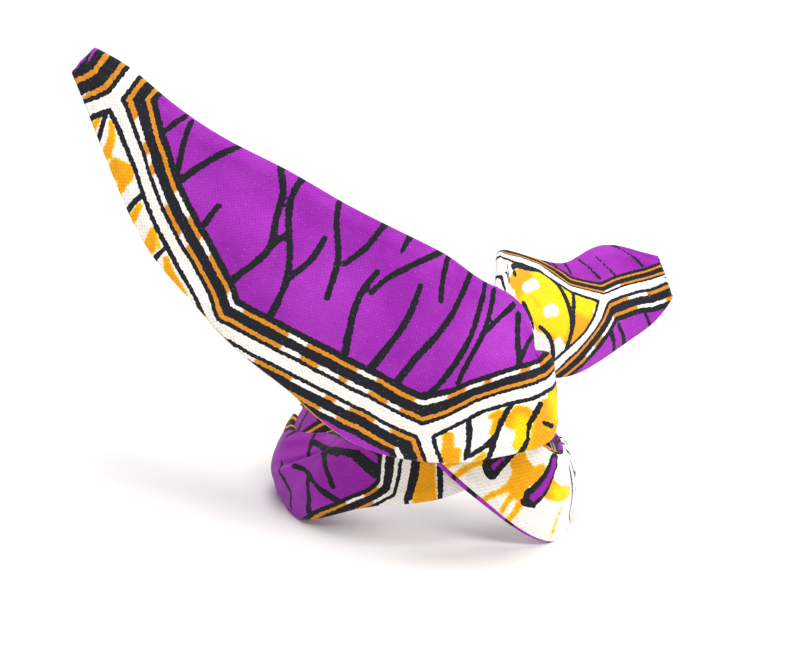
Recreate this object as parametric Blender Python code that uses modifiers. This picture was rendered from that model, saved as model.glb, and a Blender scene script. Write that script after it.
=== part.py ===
"""Wire bun wrap: a flat cloth tube with a bent wire in it, half knotted round an open loop.

The band runs from the tip of the tall wing down across the front, turns back on itself at the right,
goes left along the front of the loop, round the back and forward again on the right as the flap,
passes between its own two layers at the front, turns back and leaves behind them as the short wing.
Units are metres, +Z is up, the viewer's side is -Y, and the origin is under the middle of the whole
object on the surface that it stands on.
"""

from typing import NamedTuple

import bpy
import numpy as np

MM = 0.001

# Sizes of the cloth and the wire, in millimetres.
WALL = 1.0  # one panel of cloth
SEAM_GAP = 0.3  # left between the two panels at the sewn edges and ends
CORE_GAP = 0.8  # between the panels away from the wire
WIRE_DIAMETER = 1.2
WIRE_CLEARANCE = 0.35  # between the wire and either panel
WIRE_INSET = 3.5  # from a sewn edge to the middle of the wire
WIRE_END = 7.0  # from an end of the band to where the wire crosses over
CHANNEL_REACH = 6.0  # how far from the wire the panels still stand apart
CREST_SOFTNESS = 0.3  # rounding of a lengthwise fold, as a share of the cloth beside it
SQUARING = 0.35  # how far a section is turned square to the crest, from 0 to 1

# The middle of the loop, from the origin, in millimetres.
LOOP_X = 9.4
LOOP_Y = 7.3

# How finely the band is divided.
STEPS = 2  # lengths between one section and the next
COLUMNS = 6  # widths between the two runs of wire

BLOCK = 400.0  # side of the cutter under the standing surface, wider than the whole object


class Section(NamedTuple):
    """One section across the band, in millimetres and degrees, measured from the middle of the loop.

    x, y, z is the crest, the line that the cloth folds along. The direction across the band points
    from its lower edge to its upper edge: turn is its bearing from +X seen from above and lift its
    slope. upper and lower are the widths of cloth above and below the crest. fold bends both towards
    the front panel, and a negative fold bends them away from it.
    """

    name: str
    x: float
    y: float
    z: float
    turn: float
    lift: float
    upper: float
    lower: float
    fold: float


SECTIONS = (
    #        name             x    y    z   turn lift upper lower fold
    Section("tall_tip",      -88, -10, 121,  15,  46,  4.5,  4.5,   0),
    Section("tall_neck",     -82, -13, 115,  12,  42,  7.5,  7.5,  -4),
    Section("tall_wing_1",   -76, -17, 107,  12,  45, 10.5, 10.0,  -6),
    Section("tall_wing_2",   -69, -22,  98,  10,  50, 14.0, 13.5,  -8),
    Section("tall_wing_3",   -59, -27,  88,  13,  51, 18.0, 18.0,  -9),
    Section("tall_wing_4",   -46, -32,  79,  14,  51, 21.0, 21.5, -10),
    Section("tall_wing_5",   -34, -37,  70,  17,  53, 23.5, 23.5, -10),
    Section("tall_wing_6",   -20, -42,  62,  18,  54, 25.0, 25.0, -10),
    Section("tall_wing_7",    -6, -46,  54,  21,  60, 26.0, 27.0, -10),
    Section("tall_wing_8",     8, -48,  49,  40,  65, 23.5, 24.0, -10),
    Section("tall_wing_9",    22, -48,  45,  75,  66, 20.0, 18.0, -14),
    Section("right_turn_1",   29, -46,  42, 110,  69, 13.5, 12.5, -14),
    Section("right_turn_2",   32, -41,  42, 110,  75, 10.0, 11.0, -10),
    Section("right_turn_3",   30, -35,  42, 125,  78,  8.5, 11.5,  -6),
    Section("under_pass_1",   16, -34,  34,  90,  82, 12.0, 16.0,   2),
    Section("under_pass_2",   -2, -35,  26,  90,  80, 11.0, 16.5,   8),
    Section("loop_front",    -20, -32,  20,  80,  62, 13.0, 14.0,  26),
    Section("loop_corner",   -32, -23,  13,  45,  60, 14.0, 13.5,  26),
    Section("loop_left",     -41,  -8,   8,   5,  84, 13.0,  9.5,  28),
    Section("loop_back_1",   -38,  12,  10, -30,  85, 14.0, 11.5,  24),
    Section("loop_back_2",   -26,  28,  12, -60,  88, 14.0, 13.2,  20),
    Section("loop_back_3",    -7,  37,  12, -90,  88, 14.0, 13.2,  20),
    Section("loop_back_4",    13,  36,  12, -110, 88, 14.0, 13.2,  20),
    Section("loop_back_5",    30,  26,  12, -140, 88, 14.0, 13.2,  20),
    Section("loop_right_1",   38,   8,  11, 180,  86, 13.0, 12.5,  24),
    Section("loop_right_2",   39, -12,  11, 180,  86, 13.0, 12.5,  24),
    Section("flap_corner",    39, -27,  12, 150,  86, 13.0, 13.0,  18),
    Section("flap_1",         34, -38,  13,  80,  88, 11.0, 13.3,   0),
    Section("flap_2",         20, -41,  25,  15,  84, 10.5, 15.0,  -4),
    Section("flap_3",          7, -41,  38,  16,  78, 12.0, 15.0,  -4),
    Section("left_turn_1",    -5, -39,  48,  60,  82, 13.0, 13.0,   0),
    Section("left_turn_2",    -9, -34,  50,  90,  86, 12.0, 13.0,   0),
    Section("left_turn_3",    -3, -28,  50, 120,  86, 11.0, 12.5,   0),
    Section("over_pass",      15, -26,  49, 150,  98, 10.5, 13.0, -10),
    Section("short_wing_1",   26, -19,  51, 170,  85, 21.4, 16.0, -26),
    Section("short_wing_2",   34, -11,  52, 178,  68, 22.6, 18.0, -24),
    Section("short_wing_3",   44,   0,  51, 160,  69, 15.5, 16.0, -16),
    Section("short_wing_4",   57,  12,  53, 143,  69, 15.5, 13.0, -12),
    Section("short_wing_5",   64,  17,  54, 130,  69, 11.5, 10.5,  -8),
    Section("short_tip",      70,  21,  56, 130,  66,  6.5,  6.5,   0),
)


class Band(NamedTuple):
    """The middle surface of the flat tube: a row for each station, a column for each line along it."""

    points: np.ndarray  # station, column, xyz
    normals: np.ndarray  # unit, towards the front panel
    across: np.ndarray  # how far each column lies from the crest, across the cloth
    along: np.ndarray  # how far each station lies from the first end


def unit(vectors):
    return vectors / np.linalg.norm(vectors, axis=-1, keepdims=True)


def lengths(points):
    """Distance along a line of points, from its start."""
    steps = np.linalg.norm(np.diff(points, axis=0), axis=1)
    return np.concatenate([[0.0], np.cumsum(steps)])


def natural_spline(knots, values, at):
    """Smooth curve through the rows of values at the knots, read at the places in at."""
    count = len(knots)
    gaps = np.diff(knots)
    matrix = np.eye(count)
    right = np.zeros_like(values)
    for i in range(1, count - 1):
        matrix[i, i - 1 : i + 2] = gaps[i - 1], 2 * (gaps[i - 1] + gaps[i]), gaps[i]
        slope_in = (values[i] - values[i - 1]) / gaps[i - 1]
        slope_out = (values[i + 1] - values[i]) / gaps[i]
        right[i] = 6 * (slope_out - slope_in)
    bend = np.linalg.solve(matrix, right)
    i = np.clip(np.searchsorted(knots, at, side="right") - 1, 0, count - 2)
    gap = gaps[i][:, None]
    before = (at - knots[i])[:, None]
    after = gap - before
    curved = (bend[i] * after**3 + bend[i + 1] * before**3) / (6 * gap)
    straight_in = (values[i] / gap - bend[i] * gap / 6) * after
    straight_out = (values[i + 1] / gap - bend[i + 1] * gap / 6) * before
    return curved + straight_in + straight_out


def across_directions():
    """The direction across the band at each section, as unit vectors."""
    turn = np.radians([s.turn for s in SECTIONS])
    lift = np.radians([s.lift for s in SECTIONS])
    return np.stack([np.cos(turn) * np.cos(lift), np.sin(turn) * np.cos(lift), np.sin(lift)], axis=1)


def columns(upper, lower):
    """Places of the columns at one station: both edges, both runs of wire and what lies between."""
    inner = np.linspace(WIRE_INSET - lower, upper - WIRE_INSET, COLUMNS + 1)
    inner[COLUMNS // 2] = 0.0
    return np.concatenate([[-lower], inner, [upper]])


def loft_band():
    """The band's middle surface, lofted through the sections."""
    crest = np.array([[s.x + LOOP_X, s.y + LOOP_Y, s.z] for s in SECTIONS], float)
    sizes = np.array([[s.upper, s.lower, np.radians(s.fold)] for s in SECTIONS])
    knots = lengths(crest)
    at = np.interp(np.arange((len(knots) - 1) * STEPS + 1) / STEPS, np.arange(len(knots)), knots)
    rows = natural_spline(knots, np.hstack([crest, across_directions(), sizes]), at)
    crest = rows[:, :3]
    way = unit(np.gradient(crest, axis=0))
    over = unit(rows[:, 3:6])
    over = unit(over - SQUARING * (over * way).sum(axis=1, keepdims=True) * way)
    face = unit(np.cross(way, over))
    upper, lower, fold = rows[:, 6:].T
    across = np.array([columns(*pair) for pair in zip(upper, lower)])
    cloth = np.where(across > 0, upper[:, None], lower[:, None])
    rise = cloth * (np.hypot(across / cloth, CREST_SOFTNESS) - CREST_SOFTNESS)
    points = (
        crest[:, None]
        + (across * np.cos(fold)[:, None])[..., None] * over[:, None]
        + (rise * np.sin(fold)[:, None])[..., None] * face[:, None]
    )
    normals = unit(np.cross(np.gradient(points, axis=0), np.gradient(points, axis=1)))
    return Band(points, normals, across, lengths(crest))


def crossing(band, end):
    """The station where the wire crosses over near the band's first (0) or last (-1) end."""
    return int(np.argmin(np.abs(np.abs(band.along - band.along[end]) - WIRE_END)))


def cavity(band):
    """The gap between the two panels at every point: wide round the wire and closed at the seams."""
    from_wire = np.abs(band.across[..., None] - band.across[:, None, [1, -2]]).min(axis=2)
    for end in (0, -1):
        reach = np.abs(band.along - band.along[crossing(band, end)])
        from_wire = np.minimum(from_wire, reach[:, None])
    channel = WIRE_DIAMETER + 2 * WIRE_CLEARANCE
    gap = CORE_GAP + (channel - CORE_GAP) * np.clip(1 - from_wire / CHANNEL_REACH, 0, 1)
    gap[[0, -1]] = SEAM_GAP
    gap[:, [0, -1]] = SEAM_GAP
    return gap


def material(name, colour, roughness, metallic=0.0):
    made = bpy.data.materials.new(name)
    made.use_nodes = True
    shader = made.node_tree.nodes["Principled BSDF"]
    shader.inputs["Base Color"].default_value = (*colour, 1.0)
    shader.inputs["Roughness"].default_value = roughness
    shader.inputs["Metallic"].default_value = metallic
    return made


def panel(name, band, side, collection, finish):
    """One panel of cloth: the inner face of the cavity on that side, thickened outwards.

    side is 1 for the front panel and -1 for the back panel.
    """
    points = band.points + side * 0.5 * cavity(band)[..., None] * band.normals
    rows, across = points.shape[:2]
    faces = []
    for i in range(rows - 1):
        for j in range(across - 1):
            corner = i * across + j
            face = (corner, corner + across, corner + across + 1, corner + 1)
            faces.append(face[::side])
    mesh = bpy.data.meshes.new(name)
    mesh.from_pydata((points.reshape(-1, 3) * MM).tolist(), [], faces)
    mesh.materials.append(finish)
    mesh.shade_smooth()
    cloth = bpy.data.objects.new(name, mesh)
    collection.objects.link(cloth)
    wall = cloth.modifiers.new("cloth wall", "SOLIDIFY")
    wall.thickness = WALL * MM
    wall.offset = 1.0
    wall.use_even_offset = True
    return cloth


def wire(name, band, collection, finish):
    """The closed loop of wire: up one long edge, across near the end, and back along the other."""
    first, last = crossing(band, 0), crossing(band, -1)
    lower_run = band.points[first : last + 1, 1]
    upper_run = band.points[first : last + 1, -2][::-1]
    crossings = band.points[last, 2:-2], band.points[first, 2:-2][::-1]
    route = np.concatenate([lower_run, crossings[0], upper_run, crossings[1]])
    curve = bpy.data.curves.new(name, "CURVE")
    curve.dimensions = "3D"
    curve.bevel_depth = 0.5 * WIRE_DIAMETER * MM
    curve.bevel_resolution = 2
    spline = curve.splines.new("POLY")
    spline.points.add(len(route) - 1)
    for point, place in zip(spline.points, route * MM):
        point.co = (*place, 1.0)
    spline.use_cyclic_u = True
    curve.materials.append(finish)
    bent = bpy.data.objects.new(name, curve)
    collection.objects.link(bent)
    return bent


def floor_cutter(collection):
    """A block under the standing surface, which trims the lowest edges flat."""
    bpy.ops.mesh.primitive_cube_add(size=BLOCK * MM, location=(0, 0, -0.5 * BLOCK * MM))
    block = bpy.context.object
    block.name = "floor_cutter"
    block.hide_render = True
    block.display_type = "WIRE"
    for owner in block.users_collection:
        owner.objects.unlink(block)
    collection.objects.link(block)
    return block


def trim(cloth, cutter):
    cut = cloth.modifiers.new("flat where it stands", "BOOLEAN")
    cut.operation = "DIFFERENCE"
    cut.solver = "EXACT"
    cut.object = cutter


def new_collection(name):
    made = bpy.data.collections.new(name)
    bpy.context.scene.collection.children.link(made)
    return made


def main():
    for obj in list(bpy.data.objects):
        bpy.data.objects.remove(obj, do_unlink=True)
    wrap = new_collection("wire_bun_wrap")
    cutters = new_collection("cutters")
    band = loft_band()
    purple = material("printed cotton, front panel", (0.42, 0.05, 0.55), 0.85)
    orange = material("printed cotton, back panel", (0.85, 0.45, 0.06), 0.85)
    steel = material("coated steel wire", (0.55, 0.55, 0.57), 0.4, metallic=1.0)
    block = floor_cutter(cutters)
    for name, side, finish in (("front_panel", 1, purple), ("back_panel", -1, orange)):
        trim(panel(name, band, side, wrap, finish), block)
    wire("edge_wire", band, wrap, steel)


main()
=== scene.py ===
"""Looks of a wire bun wrap: a flat tube of wax-printed cotton, bent round a loop by the wire in it.

Each panel of the tube is one sheet of cloth. Its shape is worked out from the sections across the band,
and its print is charted on the cloth in millimetres: cells with striped borders, and twigs inside them, with
a few broad strokes of painted shade among the twigs.
"""

import logging
import math
from dataclasses import dataclass
from enum import Enum
from typing import Any, NamedTuple

import bpy
import numpy as np
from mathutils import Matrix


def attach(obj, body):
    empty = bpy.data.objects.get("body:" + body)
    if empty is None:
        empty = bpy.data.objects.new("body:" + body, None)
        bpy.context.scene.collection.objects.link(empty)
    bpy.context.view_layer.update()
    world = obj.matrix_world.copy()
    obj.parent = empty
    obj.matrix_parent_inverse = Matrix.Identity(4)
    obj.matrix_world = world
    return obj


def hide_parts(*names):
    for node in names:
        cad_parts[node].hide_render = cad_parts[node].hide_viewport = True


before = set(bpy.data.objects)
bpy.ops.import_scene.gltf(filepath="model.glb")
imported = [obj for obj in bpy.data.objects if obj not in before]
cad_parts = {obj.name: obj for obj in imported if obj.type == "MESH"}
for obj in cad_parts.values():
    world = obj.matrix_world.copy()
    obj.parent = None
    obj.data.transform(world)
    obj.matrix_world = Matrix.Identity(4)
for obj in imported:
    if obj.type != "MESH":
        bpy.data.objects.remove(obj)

logging.basicConfig(level=logging.INFO, format="%(name)s: %(message)s")
LOG = logging.getLogger("bun_wrap")

MM = 0.001
UV_UNIT = 100.0  # millimetres of cloth to one unit of the print map


class Side(Enum):
    """The two panels of the tube, and which way each faces from its middle surface."""

    FRONT = 1
    BACK = -1


class Ground(Enum):
    """What a cell of the print is filled with."""

    PURPLE = 0
    GOLD = 1
    PALE = 2


class Section(NamedTuple):
    """One section across the band, in millimetres and degrees, measured from the middle of the loop."""

    name: str
    x: float
    y: float
    z: float
    turn: float
    lift: float
    upper: float
    lower: float
    fold: float


SECTIONS = (
    #        name             x    y    z   turn lift upper lower fold
    Section("tall_tip",      -88, -10, 121,  15,  46,  4.5,  4.5,   0),
    Section("tall_neck",     -82, -13, 115,  12,  42,  7.5,  7.5,  -4),
    Section("tall_wing_1",   -76, -17, 107,  12,  45, 10.5, 10.0,  -6),
    Section("tall_wing_2",   -69, -22,  98,  10,  50, 14.0, 13.5,  -8),
    Section("tall_wing_3",   -59, -27,  88,  13,  51, 18.0, 18.0,  -9),
    Section("tall_wing_4",   -46, -32,  79,  14,  51, 21.0, 21.5, -10),
    Section("tall_wing_5",   -34, -37,  70,  17,  53, 23.5, 23.5, -10),
    Section("tall_wing_6",   -20, -42,  62,  18,  54, 25.0, 25.0, -10),
    Section("tall_wing_7",    -6, -46,  54,  21,  60, 26.0, 27.0, -10),
    Section("tall_wing_8",     8, -48,  49,  40,  65, 23.5, 24.0, -10),
    Section("tall_wing_9",    22, -48,  45,  75,  66, 20.0, 18.0, -14),
    Section("right_turn_1",   29, -46,  42, 110,  69, 13.5, 12.5, -14),
    Section("right_turn_2",   32, -41,  42, 110,  75, 10.0, 11.0, -10),
    Section("right_turn_3",   30, -35,  42, 125,  78,  8.5, 11.5,  -6),
    Section("under_pass_1",   16, -34,  34,  90,  82, 12.0, 16.0,   2),
    Section("under_pass_2",   -2, -35,  26,  90,  80, 11.0, 16.5,   8),
    Section("loop_front",    -20, -32,  20,  80,  62, 13.0, 14.0,  26),
    Section("loop_corner",   -32, -23,  13,  45,  60, 14.0, 13.5,  26),
    Section("loop_left",     -41,  -8,   8,   5,  84, 13.0,  9.5,  28),
    Section("loop_back_1",   -38,  12,  10, -30,  85, 14.0, 11.5,  24),
    Section("loop_back_2",   -26,  28,  12, -60,  88, 14.0, 13.2,  20),
    Section("loop_back_3",    -7,  37,  12, -90,  88, 14.0, 13.2,  20),
    Section("loop_back_4",    13,  36,  12, -110, 88, 14.0, 13.2,  20),
    Section("loop_back_5",    30,  26,  12, -140, 88, 14.0, 13.2,  20),
    Section("loop_right_1",   38,   8,  11, 180,  86, 13.0, 12.5,  24),
    Section("loop_right_2",   39, -12,  11, 180,  86, 13.0, 12.5,  24),
    Section("flap_corner",    39, -27,  12, 150,  86, 13.0, 13.0,  18),
    Section("flap_1",         34, -38,  13,  80,  88, 11.0, 13.3,   0),
    Section("flap_2",         20, -41,  25,  15,  84, 10.5, 15.0,  -4),
    Section("flap_3",          7, -41,  38,  16,  78, 12.0, 15.0,  -4),
    Section("left_turn_1",    -5, -39,  48,  60,  82, 13.0, 13.0,   0),
    Section("left_turn_2",    -9, -34,  50,  90,  86, 12.0, 13.0,   0),
    Section("left_turn_3",    -3, -28,  50, 120,  86, 11.0, 12.5,   0),
    Section("over_pass",      15, -26,  49, 150,  98, 10.5, 13.0, -10),
    Section("short_wing_1",   26, -19,  51, 170,  85, 21.4, 16.0, -26),
    Section("short_wing_2",   34, -11,  52, 178,  68, 22.6, 18.0, -24),
    Section("short_wing_3",   44,   0,  51, 160,  69, 15.5, 16.0, -16),
    Section("short_wing_4",   57,  12,  53, 143,  69, 15.5, 13.0, -12),
    Section("short_wing_5",   64,  17,  54, 130,  69, 11.5, 10.5,  -8),
    Section("short_tip",      70,  21,  56, 130,  66,  6.5,  6.5,   0),
)


class Cell(NamedTuple):
    """One cell of the print: its corners along and across the cloth, in millimetres, at its white border.

    tight is how much closer than usual the lines of its border lie.
    """

    side: Side
    ground: Ground
    corners: tuple[tuple[float, float], ...]
    tight: float = 1.0


class Junction(NamedTuple):
    """A point on the white line that runs along the band. Its arm leaves towards an edge, or it has none."""

    along: float
    across: float
    arm: int
    lean: float = 0.0


class Stroke(NamedTuple):
    """A painted stroke: its half width at the start and at the end, and the points that it runs through."""

    side: Side
    start: float
    end: float
    points: tuple[tuple[float, float], ...]


F, B = Side.FRONT, Side.BACK

# Lines between two shown cells, from junction to junction
TIP_UPPER = ((13.6, -0.2), (12.9, 3), (11.5, 8.5), (8, 20))
TIP_LOWER = ((13.6, -0.2), (12.4, -4), (10.6, -8), (6, -20))
WING_LINE = ((20, -1), (30, -3.4), (40, -7.6), (50, -11.6), (60, -15.9), (65, -18.2), (71, -21.8))
WING_LOWER = ((71, -21.8), (76, -20.6), (85, -19), (100, -17.6), (112, -16.2), (125, -17))
TURN_LINE = ((125, -17), (130, -12), (135, -7.2), (145, -0.7), (150, 2.4), (156, 3.6), (162, 3))
TURN_LOWER = ((125, -17), (130.4, -26), (140, -45))
OVER_LINE = ((518.5, 30), (518.5, 8), (520, -4), (526, -14))
SHORT_UPPER = ((561, 1.7), (556, 4.6), (550, 7.8), (546.5, 11.6), (543, 15.6), (538, 18.8), (530, 21.5),
               (524, 24), (518.5, 30))
SHORT_LOWER = ((526, -14), (533, -16.5), (537, -13.5), (540, -11.7), (545, -9.1), (550, -6.2), (555, -3.1))
SHORT_END = ((561, 1.7), (575, 1.3), (592, -1))
BULGE_START = ((201, 2), (203.2, -4), (204.3, -8), (206.5, -13.5))
BULGE_LOWER = ((206.5, -13.5), (212, -15), (228, -17.5), (236, -19.5), (258, -22), (282, -22))

SHOWN_CELLS = (
    Cell(F, Ground.PURPLE, ((-22, -20), (-22, 20), *TIP_UPPER[::-1], *TIP_LOWER)),
    Cell(F, Ground.PURPLE, (*TIP_UPPER, (8, 40), (170, 40), (168, 14), *TURN_LINE[::-1], *WING_LOWER[::-1],
                            *WING_LINE[::-1])),
    Cell(F, Ground.PALE, (*WING_LINE, (70, -40), (4, -40), *TIP_LOWER[::-1])),
    Cell(F, Ground.PURPLE, (*WING_LOWER, *TURN_LOWER, (70, -45)), 1.05),
    Cell(F, Ground.PALE, (*TURN_LINE, (178, 0), (202, -10), (205, -45), *TURN_LOWER[::-1])),
    Cell(F, Ground.PURPLE, ((480, 6), (486, 40), (512, 40), *OVER_LINE, (526, -40), (392, -40), (400, -6),
                            (426, 4), (452, 6))),
    Cell(F, Ground.PALE, (*SHORT_UPPER, *OVER_LINE, *SHORT_LOWER)),
    Cell(F, Ground.PURPLE, (*SHORT_END, (600, 40), (512, 40), *SHORT_UPPER[::-1]), 1.75),
    Cell(F, Ground.PURPLE, (*SHORT_END, (596, -40), (526, -40), *SHORT_LOWER)),
    Cell(B, Ground.PURPLE, (*BULGE_START, *BULGE_LOWER, (280, 6), (260, 20), (241, 22), (224, 15),
                            (212, 9))),
    Cell(B, Ground.PALE, ((177, -2), *BULGE_START, (208, -45), (180, -45))),
    Cell(B, Ground.PURPLE, (*BULGE_LOWER, (282, -45), (208, -45))),
    Cell(B, Ground.PALE, ((415, -40), (415, 40), (470, 40), (470, -40))),
)


class BorderWidth(NamedTuple):
    """How wide the lines of a border are at a place along the cloth, against the usual.

    narrow is how far the lines stand nearer to the middle of the white one, in millimetres.
    """

    along: float
    front: float
    back: float
    narrow: float


BORDER_WIDTHS = (
    BorderWidth(0, 1.3, 1.3, 0.35),
    BorderWidth(14, 1.3, 1.3, 0.35),
    BorderWidth(22, 1.2, 1.0, 0.35),
    BorderWidth(30, 1.08, 1.0, 0.35),
    BorderWidth(62, 1.06, 1.0, 0.3),
    BorderWidth(80, 1.0, 1.0, 0.0),
    BorderWidth(122, 1.0, 1.0, 0.0),
    BorderWidth(128, 0.8, 1.0, 0.0),
    BorderWidth(135, 0.76, 1.0, 0.0),
    BorderWidth(156, 0.76, 1.0, 0.0),
    BorderWidth(200, 0.95, 1.0, 0.3),
    BorderWidth(209, 0.95, 1.0, 0.3),
    BorderWidth(215, 0.95, 0.74, 0.0),
    BorderWidth(236, 1.0, 0.72, 0.0),
    BorderWidth(262, 1.0, 1.0, 0.0),
    BorderWidth(500, 0.9, 1.0, 0.0),
    BorderWidth(512, 0.7, 1.0, 0.0),
    BorderWidth(552, 0.72, 1.0, 0.0),
    BorderWidth(566, 0.88, 1.0, 0.0),
    BorderWidth(590, 0.92, 1.0, 0.0),
)


class Dash(NamedTuple):
    """A white stretch of an orange line in a purple cell's border, from start to stop along the cloth.

    cell is the cell's place in the table of shown cells. line is 0 for the line nearest the white one.
    """

    cell: int
    line: int
    start: float
    stop: float


DASHES = (
    Dash(0, 0, 5.6, 7.3),
    Dash(1, 0, 22, 28),
    Dash(1, 0, 31, 33.4),
    Dash(1, 0, 35.6, 43),
    Dash(1, 0, 50.5, 53.5),
    Dash(1, 0, 87.4, 92.6),
    Dash(1, 0, 98, 103.4),
    Dash(1, 0, 105.6, 111),
    Dash(1, 0, 115.6, 118.6),
    Dash(1, 1, 43, 49.4),
    Dash(1, 1, 55.4, 59.6),
    Dash(1, 1, 69.4, 75),
    Dash(1, 1, 87.4, 92.6),
    Dash(1, 1, 106.4, 111),
    Dash(1, 1, 121, 127.4),
    Dash(1, 1, 131, 134.6),
    Dash(1, 1, 136.4, 142.8),
    Dash(1, 1, 146, 151),
    Dash(3, 0, 78, 83.5),
    Dash(3, 0, 94, 103),
    Dash(3, 0, 105.5, 109),
    Dash(3, 0, 115, 118.5),
    Dash(3, 1, 103.5, 107.5),
    Dash(3, 1, 121, 124),
    Dash(7, 0, 562, 568.5),
    Dash(8, 0, 570, 577.5),
    Dash(8, 1, 549, 553),
    Dash(8, 1, 556.5, 562.3),
    Dash(8, 1, 573, 583),
    Dash(9, 0, 196, 214),
    Dash(9, 1, 203, 212),
    Dash(9, 1, 216, 221.5),
)


class Ladder(NamedTuple):
    """A stretch of the honeycomb out of the first view: junctions in order and the grounds of its cells."""

    side: Side
    junctions: tuple[Junction, ...]
    above: tuple[Ground, ...]
    below: tuple[Ground, ...]


P, G = Ground.PURPLE, Ground.GOLD

LADDERS = (
    Ladder(
        F,
        (Junction(162, 3, 1, 8), Junction(178, 0, 0), Junction(202, -10, -1, 3), Junction(229, -2, 0),
         Junction(262, -9, 0), Junction(302, -8, 1, 6), Junction(328, -14, -1, 6), Junction(368, 4, 1, 5),
         Junction(400, -6, -1, -8),
         Junction(426, 4, 0), Junction(452, 6, 0), Junction(480, 6, 1, 6)),
        (P, G, P),
        (P, P),
    ),
    Ladder(
        B,
        (Junction(-40, 2, 1), Junction(-40, 2, -1), Junction(14, 6, 1, -4), Junction(50, -9, -1, 5),
         Junction(98, 9, 1, 6), Junction(150, -7, -1, -4), Junction(177, -2, -1, 3), Junction(201, 2, 1, 8)),
        (G, P, P),
        (P, G, P),
    ),
    Ladder(
        B,
        (Junction(201, 2, 1, 8), Junction(212, 9, 0), Junction(224, 15, 0), Junction(241, 22, 0),
         Junction(260, 20, 0), Junction(280, 6, -1, 2), Junction(314, -4, 1, -5), Junction(346, 8, -1, 4),
         Junction(381, -3, 1, 5), Junction(415, 0, -1), Junction(415, 0, 1)),
        (P, P, G),
        (G, P),
    ),
    Ladder(
        B,
        (Junction(470, 0, 1), Junction(470, 0, -1), Junction(501, -6, -1, 4), Junction(541, 6, 1, -5),
         Junction(640, -2, 1), Junction(640, -2, -1)),
        (P, P),
        (P, G),
    ),
)

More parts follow.
